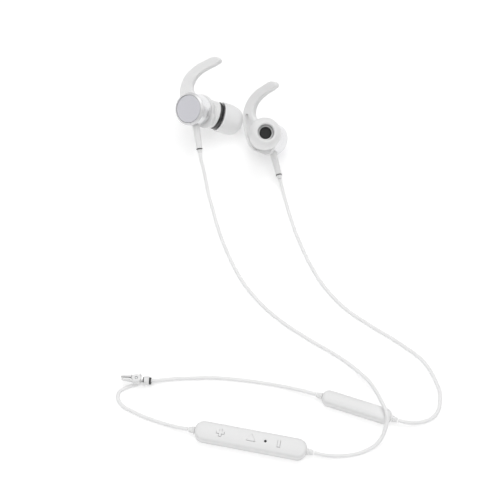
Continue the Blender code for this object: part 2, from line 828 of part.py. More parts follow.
def make_battery_pod():
    placed = Matrix.Translation((*BATTERY_CENTRE, 0)) @ Matrix.Rotation(BATTERY_TURN, 4, "Z")
    pod = frame("battery_pod_frame", placed)
    size = (BATTERY_LENGTH, BATTERY_WIDTH)
    pod_cover("battery_top_cover", size, (BATTERY_SPLIT, BATTERY_HEIGHT), BATTERY_CORNER, True, pod)
    pod_cover("battery_bottom_cover", size, (0.0, BATTERY_SPLIT - GAP), BATTERY_CORNER, False, pod)
    cell = box("battery_cell", (-0.0098, -0.0016, 0.0010), (0.0072, 0.0016, 0.0036), pod)
    coat(cell, "cell_foil")
    board = box("protection_board", (0.0075, -0.0014, 0.0014), (0.0103, 0.0014, 0.0020), pod)
    coat(board, "circuit_green")
    make_pod_relief("battery_relief_neck", pod, BATTERY_LENGTH, BATTERY_EXIT_HEIGHT, -1)
    make_pod_relief("battery_relief_right_bud", pod, BATTERY_LENGTH, BATTERY_EXIT_HEIGHT, 1)


# Shirt clip. Its frame's X runs from the pivot to the eyelet, and its jaws point the other way.

CHEEK_CORNERS = 12
NEAR_JAW = (
    (-0.0052, -0.0006),
    (-0.0056, -0.0002),
    (-0.0056, 0.0),
    (-0.0052, -0.00015),
    (-0.0021, -0.00015),
    (-0.0014, -0.0009),
    (-0.0012, -0.0011),
    (0.0012, -0.0011),
    (0.0010, -0.0014),
    (-0.0012, -0.0014),
    (-0.0024, -0.0009),
)
FAR_JAW = (
    (-0.0052, 0.0007),
    (-0.0056, 0.0004),
    (-0.0056, 0.00015),
    (-0.0052, 0.0002),
    (-0.0019, 0.0002),
    (-0.0010, -0.0005),
    (-0.0005, -0.0008),
    (0.0005, -0.0008),
    (0.0010, -0.0003),
    (0.0010, 0.0008),
    (0.0016, 0.0013),
    (0.0015, 0.0017),
    (0.0006, 0.0015),
    (-0.0006, 0.0014),
    (-0.0021, 0.0010),
)


def pin_hole(name, clip):
    return rod(name, CLIP_PIN_HOLE, 0.0, 0.0080, clip, CUTTERS, 16)


def make_clip_base(clip):
    """The near jaw, two cheeks that hold the pin, and the eyelet that the cord runs through."""
    long_radius, short_radius = CLIP_CHEEK_RADII
    turns = [2 * math.pi * index / CHEEK_CORNERS for index in range(CHEEK_CORNERS)]
    cheek = [(long_radius * math.cos(turn), short_radius * math.sin(turn)) for turn in turns]
    base = plate("clip_base", (cheek,), CLIP_BOTTOM, CLIP_BOTTOM + CLIP_CHEEK, clip)
    upper = plate("clip_upper_cheek", (cheek,), CLIP_TOP - CLIP_CHEEK, CLIP_TOP, clip, CUTTERS)
    boolean(base, upper, "UNION")
    jaw = plate("clip_near_jaw", (NEAR_JAW,), CLIP_BOTTOM + 0.0002, CLIP_TOP - 0.0002, clip, CUTTERS)
    boolean(base, jaw, "UNION")
    boolean(base, pin_hole("clip_base_pin_hole", clip))
    neck_low = (0.0004, -0.00135, CLIP_BOTTOM + 0.0001)
    neck_top = (EYELET_START + 0.0003, -0.00095, CLIP_BOTTOM + CLIP_CHEEK - 0.0001)
    boolean(base, box("clip_neck", neck_low, neck_top, clip, CUTTERS), "UNION")
    along = axes_matrix((0, EYELET_SIDE, EYELET_HEIGHT), (1, 0, 0), (0, 0, 1))
    eyelet = rod("clip_eyelet", EYELET_RADIUS, EYELET_START, EYELET_END, clip, CUTTERS, 20)
    eyelet.matrix_local = along
    boolean(base, eyelet, "UNION")
    bore = rod("clip_eyelet_bore", EYELET_BORE, EYELET_START - 0.0006, EYELET_END + 0.0006, clip, CUTTERS, 20)
    bore.matrix_local = along
    boolean(base, bore)
    coat(base, "white_plastic")


def make_clip_lever(clip, middle):
    """The far jaw with its thumb tab, turning on the pin."""
    lever = plate("clip_lever", (FAR_JAW,), CLIP_BOTTOM, CLIP_TOP, clip)
    slack = 0.0002
    for name, low, high in (
        ("lower", 0.0, CLIP_BOTTOM + CLIP_CHEEK + slack),
        ("upper", CLIP_TOP - CLIP_CHEEK - slack, 0.0080),
    ):
        boolean(lever, rod("clip_lever_room_" + name, 0.0020, low, high, clip, CUTTERS, 16))
    boolean(lever, pin_hole("clip_lever_pin_hole", clip))
    slot = rod("clip_spring_slot", 0.00068, middle - 0.00022, middle + 0.00022, clip, CUTTERS, 16)
    boolean(lever, slot)
    coat(lever, "white_plastic")


def make_clip():
    placed = Matrix.Translation((*CLIP_PIVOT, 0)) @ Matrix.Rotation(CLIP_TURN, 4, "Z")
    clip = frame("clip_frame", placed)
    middle = (CLIP_BOTTOM + CLIP_TOP) / 2
    make_clip_base(clip)
    make_clip_lever(clip, middle)
    spring = (
        (0.00046, middle + 0.00014),
        (0.0006, middle + 0.00014),
        (0.0006, middle - 0.00014),
        (0.00046, middle - 0.00014),
    )
    coat(turned("clip_spring", spring, clip, steps=12), "steel")
    pin = rod("clip_pin", CLIP_PIN_RADIUS, CLIP_BOTTOM + 0.0001, CLIP_TOP - 0.0001, clip, steps=12)
    coat(pin, "steel")


# Cords.


def smooth_route(route):
    """Evenly spaced points on a smooth curve through the route's points."""
    points = [Vector(place) for place in route]
    ends = [points[0] * 2 - points[1]] + points + [points[-1] * 2 - points[-2]]
    dense = []
    for before, start, end, after in zip(ends, ends[1:], ends[2:], ends[3:]):
        span = (end - start).length
        lead = (end - before).normalized() * span / 3
        follow = (after - start).normalized() * span / 3
        dense += interpolate_bezier(start, start + lead, end - follow, end, 12)[:-1]
    dense.append(points[-1])
    lengths = [0.0]
    for start, end in zip(dense, dense[1:]):
        lengths.append(lengths[-1] + (end - start).length)
    count = max(2, round(lengths[-1] / CORD_POINT_SPACING))
    evenly = []
    index = 0
    for step in range(count + 1):
        wanted = lengths[-1] * step / count
        while index < len(dense) - 2 and lengths[index + 1] < wanted:
            index += 1
        share = (wanted - lengths[index]) / (lengths[index + 1] - lengths[index])
        evenly.append(dense[index].lerp(dense[index + 1], share))
    return evenly


def make_cord(name, route):
    curve = bpy.data.curves.new(name, "CURVE")
    curve.dimensions = "3D"
    curve.bevel_depth = CORD_RADIUS
    curve.bevel_resolution = CORD_SIDE_RESOLUTION
    curve.use_fill_caps = True
    places = smooth_route(route)
    spline = curve.splines.new("POLY")
    spline.points.add(len(places) - 1)
    for point, place in zip(spline.points, places):
        point.co = (*place, 1.0)
    coat(add_object(name, curve), "cord_rubber")


for bud_name in BUDS:
    make_bud(bud_name)
make_control_pod()
make_battery_pod()
make_clip()
make_cord("left_cord", LEFT_ROUTE)
make_cord("right_cord", RIGHT_ROUTE)
make_cord("neck_cord", NECK_ROUTE)
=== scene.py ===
"""The looks of a pair of white wireless neckband earphones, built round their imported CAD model."""

import json
import math

import bmesh
import bpy
from mathutils import Matrix, Vector
from mathutils.geometry import interpolate_bezier


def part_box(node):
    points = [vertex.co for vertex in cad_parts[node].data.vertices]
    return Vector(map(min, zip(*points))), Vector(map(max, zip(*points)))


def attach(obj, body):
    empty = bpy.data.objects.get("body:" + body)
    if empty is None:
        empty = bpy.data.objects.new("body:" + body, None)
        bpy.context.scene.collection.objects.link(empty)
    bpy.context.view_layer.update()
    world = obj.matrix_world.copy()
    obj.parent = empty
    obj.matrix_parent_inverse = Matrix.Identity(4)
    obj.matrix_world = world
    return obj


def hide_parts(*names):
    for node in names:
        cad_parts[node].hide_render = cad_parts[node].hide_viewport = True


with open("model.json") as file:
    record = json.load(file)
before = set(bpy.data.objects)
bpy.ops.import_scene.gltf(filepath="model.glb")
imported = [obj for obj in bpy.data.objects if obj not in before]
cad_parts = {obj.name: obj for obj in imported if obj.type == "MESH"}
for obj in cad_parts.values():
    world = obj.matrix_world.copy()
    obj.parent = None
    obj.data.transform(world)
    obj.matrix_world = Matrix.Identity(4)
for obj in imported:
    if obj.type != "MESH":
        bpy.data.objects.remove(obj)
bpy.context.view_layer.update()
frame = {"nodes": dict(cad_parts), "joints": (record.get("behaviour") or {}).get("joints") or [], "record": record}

BODY = "earphones"
GAP = 0.0002

# Sizes of the earbuds, in metres along and about each bud's own axis, which runs from the cap into the ear.
BARREL_RADIUS = 0.0066
BARREL_FRONT_RADIUS = 0.00615
BARREL_LENGTH = 0.0078
CAP_RADIUS = 0.0054
HOUSING_RADIUS = 0.0056
ELBOW_RADIUS = 0.0055
ELBOW_START = 0.01015
NOZZLE_PIVOT = 0.0090
NOZZLE_TILT = math.radians(36.5)
NOZZLE_DROOP = math.radians(9.0)
NOZZLE_RADIUS = 0.0029
NOZZLE_BORE = 0.0025
NOZZLE_END = 0.0152
COLLAR_RADIUS = 0.0057
COLLAR_START = 0.0069
COLLAR_END = 0.0085
TIP_RADIUS = 0.0063
TIP_START = 0.0087
TIP_END = 0.0182
HOOK_THICKNESS = 0.0026
HOOK_MIDDLE = 0.0099
HOOK_SLEEVE_BORE = 0.00575
HOOK_WEB = 0.0009
WING_EDGE = 0.00065
HEEL_EDGE = 0.00032
HOOK_VOXEL = 0.00013
HOOK_LEAN_UP = math.radians(7.3)
HOOK_LEAN_FORWARD = math.radians(6.8)
RELIEF_ALONG_BARREL = 0.0042
RELIEF_ROOT = 0.0055
RELIEF_END = 0.0159
RELIEF_COLLAR_END = 0.01775

# How each earbud lies: the direction up to its hook, the side its nozzle leans to, its hook's turn and its
# strain relief's lean forward.
BUDS = {
    "left": {
        "up": (0.178, 0.759, 0.626),
        "side": -1,
        "hook_turn": math.radians(9.7),
        "relief_lean": math.radians(21.0),
    },
    "right": {
        "up": (-0.063, 0.928, 0.367),
        "side": 1,
        "hook_turn": math.radians(-13.0),
        "relief_lean": math.radians(12.0),
    },
}

CONTROL_TURN = math.radians(-11.2)
CONTROL_SIZE = (0.0402, 0.0073, 0.0045)
CONTROL_CORNER = 0.0034
CONTROL_SPLIT = 0.0014
CONTROL_EXIT_HEIGHT = 0.0019
BATTERY_TURN = math.radians(-19.0)
BATTERY_SIZE = (0.0256, 0.0054, 0.0046)
BATTERY_CORNER = 0.00245
BATTERY_SPLIT = 0.0020
BATTERY_EXIT_HEIGHT = 0.0022
POD_WALL = 0.0008
BUTTON_PLACES = {"plus": -0.0108, "play": 0.0002, "minus": 0.0101}
BUTTON_RAISE = 0.00035
BUTTON_SINK = 0.0011
KEY_GAP = 0.00009
MICROPHONE_PLACE = 0.0053
CLIP_TURN = math.radians(-3.0)
CLIP_BOTTOM = 0.0021
CLIP_TOP = 0.0047
CLIP_CHEEK = 0.0007
CLIP_CHEEK_RADII = (0.0017, 0.0014)
CLIP_PIN_HOLE = 0.00056
CLIP_ROOM_RADIUS = 0.0020
CLIP_SPRING_ROOM = (0.00068, 0.00022)
EYELET_RADIUS = 0.00168
EYELET_BORE = 0.00112
EYELET_HEIGHT = 0.00176
EYELET_SIDE = 0.00015
EYELET_START = 0.0022
EYELET_END = 0.00515

CORD_DIAMETER = 0.0014
CORD_POINT_SPACING = 0.0007
CORD_ROUTES = {
    "left_cord": (
        (-0.02025, 0.11898, 0.00801),
        (-0.01990, 0.11690, 0.00682),
        (-0.01885, 0.11350, 0.00470),
        (-0.01800, 0.11000, 0.00290),
        (-0.01729, 0.10650, 0.00170),
        (-0.01640, 0.10250, 0.00105),
        (-0.01489, 0.09676, 0.00078),
        (-0.01303, 0.08933, 0.00074),
        (-0.00990, 0.07970, 0.00074),
        (-0.00413, 0.06640, 0.00074),
        (0.00320, 0.05570, 0.00074),
        (0.01170, 0.04735, 0.00074),
        (0.02125, 0.04030, 0.00074),
        (0.03135, 0.03365, 0.00080),
        (0.03595, 0.03005, 0.00100),
        (0.03970, 0.02625, 0.00165),
        (0.04285, 0.02230, 0.00280),
        (0.04505, 0.01775, 0.00430),
        (0.04660, 0.01340, 0.00560),
        (0.04780, 0.01015, 0.00588),
        (0.04830, 0.00695, 0.00562),
        (0.04756, 0.00375, 0.00425),
        (0.04606, 0.00060, 0.00270),
        (0.04353, -0.00182, 0.00155),
        (0.04010, -0.00350, 0.00090),
        (0.03590, -0.00470, 0.00076),
        (0.03135, -0.00527, 0.00110),
        (0.02640, -0.00523, 0.00165),
        (0.02232, -0.00442, 0.00190),
    ),
    "right_cord": (
        (0.01188, 0.11021, 0.00254),
        (0.01250, 0.10760, 0.00185),
        (0.01325, 0.10420, 0.00115),
        (0.01424, 0.10000, 0.00080),
        (0.01590, 0.09303, 0.00074),
        (0.01818, 0.08502, 0.00074),
        (0.02285, 0.07245, 0.00074),
        (0.02830, 0.06195, 0.00074),
        (0.03580, 0.05280, 0.00074),
        (0.04530, 0.04535, 0.00074),
        (0.05530, 0.03835, 0.00074),
        (0.06390, 0.03060, 0.00074),
        (0.06825, 0.02065, 0.00074),
        (0.06835, 0.01590, 0.00074),
        (0.06735, 0.01175, 0.00074),
        (0.06490, 0.00890, 0.00080),
        (0.06185, 0.00750, 0.00105),
        (0.05855, 0.00685, 0.00150),
        (0.05530, 0.00690, 0.00200),
        (0.05261, 0.00747, 0.00220),
    ),
    "neck_cord": (
        (-0.02232, 0.00442, 0.00190),
        (-0.02560, 0.00507, 0.00165),
        (-0.03000, 0.00645, 0.00105),
        (-0.03380, 0.00775, 0.00080),
        (-0.03795, 0.00935, 0.00074),
        (-0.04240, 0.01150, 0.00074),
        (-0.04610, 0.01370, 0.00074),
        (-0.04790, 0.01665, 0.00074),
        (-0.04750, 0.01910, 0.00074),
        (-0.04570, 0.02035, 0.00074),
        (-0.04340, 0.02140, 0.00076),
        (-0.04210, 0.02165, 0.00085),
        (-0.04100, 0.02205, 0.00100),
        (-0.04010, 0.02250, 0.00115),
        (-0.03920, 0.02282, 0.00150),
        (-0.03780, 0.02297, 0.00178),
        (-0.03630, 0.02305, 0.00166),
        (-0.03480, 0.02320, 0.00130),
        (-0.03294, 0.02344, 0.00100),
        (-0.02861, 0.02403, 0.00074),
        (-0.02390, 0.02425, 0.00074),
        (-0.01400, 0.02450, 0.00074),
        (-0.00380, 0.02370, 0.00074),
        (0.00645, 0.02215, 0.00078),
        (0.01235, 0.02085, 0.00115),
        (0.01760, 0.01935, 0.00175),
        (0.02060, 0.01842, 0.00205),
        (0.02339, 0.01753, 0.00220),
    ),
}

# The hook's outline, as (forward, up) from the barrel's axis.
HOOK_OUTLINE = (
    (-0.0026, -0.0060),
    (-0.0046, -0.0051),
    (-0.0068, -0.0028),
    (-0.0086, 0.0012),
    (-0.0098, 0.0062),
    (-0.0091, 0.0120),
    (-0.0056, 0.0168),
    (-0.0006, 0.0200),
    (0.0052, 0.0218),
    (0.0070, 0.0203),
    (0.0052, 0.0186),
    (0.0012, 0.0165),
    (-0.0022, 0.0140),
    (-0.0041, 0.0110),
    (-0.0042, 0.0082),
    (-0.0026, 0.0060),
    (-0.0010, 0.0000),
)
HOOK_RECESS = (
    (-0.0079, 0.0088),
    (-0.0055, 0.0068),
    (-0.0042, 0.0054),
    (-0.0050, 0.0022),
    (-0.0056, -0.0006),
    (-0.0060, -0.0012),
    (-0.0071, 0.0010),
    (-0.0078, 0.0032),
    (-0.0084, 0.0062),
)
HOOK_HEEL = (
    (-0.0030, -0.0050),
    (0.0004, -0.0069),
    (0.0038, -0.0072),
    (0.0059, -0.0052),
    (0.0060, -0.0010),
    (0.0, -0.0005),
)


# Camera, floor and light.


def make_camera():
    """The camera looks along +Y and 60 degrees down, at a point on the table past the control pod."""
    camera = bpy.data.objects.new("camera", bpy.data.cameras.new("camera"))
    bpy.context.scene.collection.objects.link(camera)
    camera.data.sensor_width = 36.0
    camera.data.lens = 79.2
    camera.data.clip_start = 0.01
    camera.location = (-0.000176, -0.13567, 0.37153)
    camera.rotation_euler = (math.radians(30.0), 0.0, 0.0)
    bpy.context.scene.camera = camera


def make_light(name, place, aim, size, power):
    light = bpy.data.lights.new(name, "AREA")
    light.shape = "RECTANGLE"
    light.size = size[0]
    light.size_y = size[1]
    light.energy = power
    lamp = bpy.data.objects.new(name, light)
    bpy.context.scene.collection.objects.link(lamp)
    lamp.location = place
    lamp.rotation_euler = (Vector(aim) - Vector(place)).to_track_quat("-Z", "Y").to_euler()


# The surround's brightness between straight down, at 0, and straight up, at 1. The horizon is at 0.5.
SURROUND_LEVELS = ((0.40, 0.35), (0.50, 0.10), (0.62, 0.15), (0.72, 0.95))
SURROUND_STRENGTH = 1.2
FLOOR_GLOW = 0.35


def make_studio():
    """A white table top under weak softboxes, in a bright surround with a darker band at the horizon."""
    bpy.ops.mesh.primitive_plane_add(size=6.0)
    floor = bpy.context.object
    floor.name = "floor"
    floor.data.materials.append(floor_finish())
    world = bpy.data.worlds.new("surround")
    world.use_nodes = True
    nodes = world.node_tree.nodes
    links = world.node_tree.links
    coordinates = nodes.new("ShaderNodeTexCoord")
    split = nodes.new("ShaderNodeSeparateXYZ")
    links.new(coordinates.outputs["Generated"], split.inputs["Vector"])
    ramp = nodes.new("ShaderNodeValToRGB")
    ramp.color_ramp.elements[0].position = 0.0
    ramp.color_ramp.elements[0].color = (*grey(0.25), 1.0)
    ramp.color_ramp.elements[1].position = 1.0
    ramp.color_ramp.elements[1].color = (*grey(1.0), 1.0)
    for height, level in SURROUND_LEVELS:
        element = ramp.color_ramp.elements.new(height)
        element.color = (*grey(level), 1.0)
    links.new(split.outputs["Z"], ramp.inputs["Fac"])
    links.new(ramp.outputs["Color"], nodes["Background"].inputs["Color"])
    nodes["Background"].inputs["Strength"].default_value = SURROUND_STRENGTH
    bpy.context.scene.world = world
    middle = (0.0, 0.075, 0.0)
    make_light("overhead_softbox", (0.05, 0.30, 0.60), middle, (0.55, 0.40), 0.7)
    make_light("left_softbox", (-0.50, 0.00, 0.35), middle, (0.30, 0.30), 0.12)
    make_light("front_softbox", (0.15, -0.55, 0.30), middle, (0.40, 0.20), 0.08)
    bpy.context.scene.view_settings.view_transform = "Standard"


# Materials.


class Finish:
    """A Principled material that is built up node by node, in the piece's own coordinates."""

    def __init__(self, name, colour, roughness, **settings):
        self.material = bpy.data.materials.new(name)
        self.material.use_nodes = True
        self.tree = self.material.node_tree
        self.shader = self.tree.nodes["Principled BSDF"]
        self.shader.inputs["Base Color"].default_value = (*colour, 1.0)
        self.shader.inputs["Roughness"].default_value = roughness
        for socket, value in settings.items():
            self.shader.inputs[socket.replace("_", " ")].default_value = value
        self.material.diffuse_color = (*colour, 1.0)
        self.place = self.add("ShaderNodeTexCoord").outputs["Object"]
        self.own_place = self.add("ShaderNodeAttribute", attribute_name="own_place").outputs["Vector"]

    def add(self, kind, **values):
        node = self.tree.nodes.new(kind)
        for name, value in values.items():
            if name in node.inputs:
                node.inputs[name].default_value = value
            else:
                setattr(node, name, value)
        return node

    def link(self, output, target):
        self.tree.links.new(output, target)

    def noise(self, scale, detail=3.0):
        """Fine random variation; scale counts its grains in a metre."""
        node = self.add("ShaderNodeTexNoise", Scale=scale, Detail=detail)
        self.link(self.place, node.inputs["Vector"])
        return node.outputs["Fac"]

    def between(self, factor, low, high):
        """A number that follows the factor from low to high."""
        node = self.add("ShaderNodeMapRange")
        node.inputs["To Min"].default_value = low
        node.inputs["To Max"].default_value = high
        self.link(factor, node.inputs["Value"])
        return node.outputs["Result"]

    def tint(self, factor, low, high):
        """Base colour that follows the factor from one colour to another."""
        ramp = self.add("ShaderNodeValToRGB")
        ramp.color_ramp.elements[0].color = (*low, 1.0)
        ramp.color_ramp.elements[1].color = (*high, 1.0)
        self.link(factor, ramp.inputs["Fac"])
        self.link(ramp.outputs["Color"], self.shader.inputs["Base Color"])

    def rough(self, factor, low, high):
        self.link(self.between(factor, low, high), self.shader.inputs["Roughness"])

    def bump(self, height, depth):
        """Relief of that depth in metres."""
        node = self.add("ShaderNodeBump", Strength=1.0, Distance=depth)
        self.link(height, node.inputs["Height"])
        self.link(node.outputs["Normal"], self.shader.inputs["Normal"])


def grey(value, blue=0.0):
    return (value, value, value + blue)


def floor_finish():
    """Matt white paper, with a weak glow of its own that keeps the background white."""
    white = (1.0, 1.0, 1.0, 1.0)
    finish = Finish("floor_paper", grey(0.80), 0.9, Emission_Color=white, Emission_Strength=FLOOR_GLOW)
    finish.bump(finish.noise(900.0), 0.00002)
    return finish.material


def plastic_finish(name, shade):
    """Moulded glossy plastic with a faint orange peel and slightly uneven gloss."""
    finish = Finish(name, grey(shade), 0.32, IOR=1.46, Coat_Weight=0.25, Coat_Roughness=0.12)
    finish.tint(finish.noise(900.0, 4.0), grey(shade * 0.985), grey(shade * 1.01))
    finish.rough(finish.noise(2600.0, 5.0), 0.26, 0.40)
    finish.bump(finish.noise(3500.0), 0.000006)
    return finish.material


def silicone_finish(name, shade, depth):
    """Soft moulded silicone: a dry sheen, a little light under the skin and a fine matt texture."""
    finish = Finish(
        name,
        grey(shade),
        0.5,
        IOR=1.41,
        Subsurface_Weight=depth,
        Subsurface_Scale=0.001,
        Subsurface_Radius=(1.0, 1.0, 1.0),
        Sheen_Weight=0.12,
        Sheen_Roughness=0.4,
    )
    finish.tint(finish.noise(700.0, 4.0), grey(shade * 0.98), grey(shade * 1.01))
    finish.rough(finish.noise(3000.0, 5.0), 0.42, 0.58)
    finish.bump(finish.noise(6000.0, 4.0), 0.000008)
    return finish.material


def cord_finish():
    """Smooth extruded elastomer with a faint waviness along it."""
    finish = Finish("cord_elastomer", grey(0.92), 0.4, IOR=1.47, Sheen_Weight=0.08)
    finish.tint(finish.noise(300.0, 4.0), grey(0.91), grey(0.94))
    finish.rough(finish.noise(2500.0, 4.0), 0.32, 0.46)
    finish.bump(finish.noise(1800.0, 4.0), 0.00001)
    return finish.material


def rings(finish, pitch):
    """Fine concentric turning marks about the piece's own Z axis."""
    wave = finish.add("ShaderNodeTexWave", Scale=1.0 / pitch / 20.0 * math.pi, Distortion=0.0)
    wave.wave_type = "RINGS"
    wave.rings_direction = "Z"
    finish.link(finish.own_place, wave.inputs["Vector"])
    return wave.outputs["Fac"]


def barrel_finish():
    """Satin anodised aluminium, turned, with fine marks that run round the barrel."""
    finish = Finish("anodised_barrel", grey(0.78, 0.01), 0.20, Metallic=1.0)
    stretch = finish.add("ShaderNodeMapping")
    stretch.inputs["Scale"].default_value = (250.0, 250.0, 9000.0)
    finish.link(finish.own_place, stretch.inputs["Vector"])
    marks = finish.add("ShaderNodeTexNoise", Scale=1.0, Detail=4.0)
    finish.link(stretch.outputs["Vector"], marks.inputs["Vector"])
    finish.tint(marks.outputs["Fac"], grey(0.76, 0.01), grey(0.81, 0.01))
    finish.rough(marks.outputs["Fac"], 0.16, 0.30)
    finish.bump(marks.outputs["Fac"], 0.000004)
    depth = finish.add("ShaderNodeSeparateXYZ")
    finish.link(finish.own_place, depth.inputs["Vector"])
    chamfer = finish.add("ShaderNodeMapRange")
    chamfer.inputs["From Min"].default_value = 0.0007
    chamfer.inputs["From Max"].default_value = 0.0010
    chamfer.inputs["To Min"].default_value = 0.25
    finish.link(depth.outputs["Z"], chamfer.inputs["Value"])
    finish.link(chamfer.outputs["Result"], finish.shader.inputs["Metallic"])
    return finish.material


def cap_finish():
    """Matt lilac-grey anodised disc with concentric turning marks."""
    finish = Finish("anodised_cap", (0.76, 0.76, 0.81), 0.5, Metallic=0.35)
    marks = rings(finish, 0.00012)
    finish.tint(finish.noise(1200.0, 4.0), (0.75, 0.75, 0.795), (0.77, 0.77, 0.815))
    finish.rough(marks, 0.42, 0.54)
    finish.bump(marks, 0.000004)
    return finish.material


def collar_finish():
    """Near-black polished ring with fine handling marks."""
    finish = Finish("polished_collar", grey(0.015), 0.2, Metallic=0.0, Coat_Weight=0.6, Coat_Roughness=0.1)
    finish.tint(finish.noise(1500.0, 4.0), grey(0.012), grey(0.02))
    finish.rough(finish.noise(4000.0, 4.0), 0.16, 0.26)
    finish.bump(finish.noise(6000.0), 0.000004)
    return finish.material


def mesh_finish():
    """Black woven wire: raised round wires, with painted shade darkening the pinholes between them."""
    finish = Finish("black_wire_mesh", grey(0.02), 0.45, Metallic=0.6)
    cells = finish.add("ShaderNodeTexVoronoi", Scale=4200.0, Randomness=0.12)
    finish.link(finish.place, cells.inputs["Vector"])
    # Painted shade: the cell centres, where the pinholes are, get a darker colour than the wires round them.
    finish.tint(cells.outputs["Distance"], grey(0.008), grey(0.06))
    finish.rough(cells.outputs["Distance"], 0.6, 0.35)
    finish.bump(cells.outputs["Distance"], 0.00006)
    return finish.material


def metal_finish(name, colour, low, high):
    """Plain sheet or wire metal with fine uneven gloss."""
    finish = Finish(name, colour, low, Metallic=1.0)
    finish.tint(finish.noise(1500.0, 4.0), [part * 0.93 for part in colour], colour)
    finish.rough(finish.noise(5000.0, 4.0), low, high)
    finish.bump(finish.noise(5000.0), 0.000004)
    return finish.material


def board_finish():
    """Green solder mask with paler tracks under it."""
    finish = Finish("solder_mask", (0.02, 0.16, 0.08), 0.4, Coat_Weight=0.3)
    cells = finish.add("ShaderNodeTexVoronoi", Scale=900.0, feature="DISTANCE_TO_EDGE")
    finish.link(finish.place, cells.inputs["Vector"])
    edge = finish.between(cells.outputs["Distance"], 1.0, 0.0)
    finish.tint(edge, (0.015, 0.12, 0.06), (0.04, 0.24, 0.12))
    finish.rough(edge, 0.34, 0.5)
    finish.bump(edge, 0.00002)
    return finish.material


def dark_rubber_finish():
    """Matt dark rubber, for the thin collars, and also for the painted shade that lines the clip's eyelet bore."""
    finish = Finish("dark_rubber", grey(0.06), 0.45)
    finish.tint(finish.noise(2500.0, 4.0), grey(0.045), grey(0.08))
    finish.rough(finish.noise(4000.0, 4.0), 0.38, 0.55)
    finish.bump(finish.noise(6000.0), 0.000008)
    return finish.material


FINISHES = {
    "barrel_aluminium": barrel_finish(),
    "cap_aluminium": cap_finish(),
    "white_plastic": plastic_finish("moulded_white_plastic", 0.86),
    "white_silicone": silicone_finish("moulded_silicone", 0.88, 0.12),
    "cord_rubber": cord_finish(),
    "dark_collar": collar_finish(),
    "dark_mesh": mesh_finish(),
    "grey_collar": dark_rubber_finish(),
    "steel": metal_finish("plain_steel", (0.56, 0.57, 0.58), 0.25, 0.40),
    "magnet_nickel": metal_finish("nickel_plate", (0.62, 0.61, 0.58), 0.15, 0.28),
    "circuit_board": board_finish(),
    "cell_foil": metal_finish("pouch_foil", (0.70, 0.71, 0.72), 0.28, 0.45),
}


def carry_over_nodes():
    """Gives every CAD node the finish of its own material slot; the pieces below replace those that show."""
    for subpart in frame["record"]["subparts"]:
        node = frame["nodes"][subpart["node"]]
        node.data.materials.clear()
        node.data.materials.append(FINISHES[subpart["material_slot"]])


# Shapes.


def axes_matrix(origin, along_z, near_y):
    z_axis = Vector(along_z).normalized()
    y_axis = Vector(near_y)
    y_axis = (y_axis - y_axis.dot(z_axis) * z_axis).normalized()
    x_axis = y_axis.cross(z_axis)
    turn = Matrix((x_axis, y_axis, z_axis)).transposed().to_4x4()
    return Matrix.Translation(Vector(origin)) @ turn


def rounded(corners, closed=False, steps=5):
    """The points of a line of (x, y, radius) corners, with each corner turned into an arc."""
    points = []
    for index, (x, y, radius) in enumerate(corners):
        corner = Vector((x, y))
        at_end = not closed and index in (0, len(corners) - 1)
        if at_end or radius == 0:
            points.append(corner)
            continue
        before = Vector(corners[index - 1][:2]) - corner
        after = Vector(corners[(index + 1) % len(corners)][:2]) - corner
        reach = radius / math.tan(before.angle(after) / 2)
        reach = min(reach, before.length * 0.49, after.length * 0.49)
        start = corner + before.normalized() * reach
        end = corner + after.normalized() * reach
        for step in range(steps + 1):
            part = step / steps
            points.append(start * (1 - part) ** 2 + corner * 2 * part * (1 - part) + end * part**2)
    return [(point.x, point.y) for point in points]


def join_rings(shape, first, second):
    """Faces between two rings of as many points; a ring of one point makes a fan."""
    for index in range(max(len(first), len(second))):
        after = index + 1
        corners = [
            first[index % len(first)],
            first[after % len(first)],
            second[after % len(second)],
            second[index % len(second)],
        ]
        shape.faces.new(list(dict.fromkeys(corners)))


def made_object(name, shape, matrix, sharp=40.0):
    """An object from a bmesh, smooth but for its edges sharper than an angle in degrees."""
    bmesh.ops.recalc_face_normals(shape, faces=shape.faces)
    mesh = bpy.data.meshes.new(name)
    shape.to_mesh(mesh)
    shape.free()
    mesh.shade_smooth()
    mesh.set_sharp_from_angle(angle=math.radians(sharp))
    piece = bpy.data.objects.new(name, mesh)
    bpy.context.scene.collection.objects.link(piece)
    piece.matrix_world = matrix
    return piece


def revolved(name, profile, matrix, segments=96, sharp=40.0):
    """A profile of (radius, height) turned about Z, from axis to axis or closed on itself."""
    shape = bmesh.new()
    made = []
    for radius, height in profile:
        if radius < 1e-7:
            made.append([shape.verts.new((0.0, 0.0, height))])
            continue
        turns = [2 * math.pi * index / segments for index in range(segments)]
        made.append([shape.verts.new((radius * math.cos(t), radius * math.sin(t), height)) for t in turns])
    pairs = list(zip(made, made[1:]))
    if len(made[0]) > 1:
        pairs.append((made[-1], made[0]))
    for first, second in pairs:
        join_rings(shape, first, second)
    return made_object(name, shape, matrix, sharp)


def lofted(name, outlines, matrix, sharp=40.0):
    """A skin through closed outlines of as many points, with a flat face at each end."""
    shape = bmesh.new()
    made = [[shape.verts.new(point) for point in outline] for outline in outlines]
    for first, second in zip(made, made[1:]):
        join_rings(shape, first, second)
    shape.faces.new(made[0])
    shape.faces.new(made[-1])
    return made_object(name, shape, matrix, sharp)


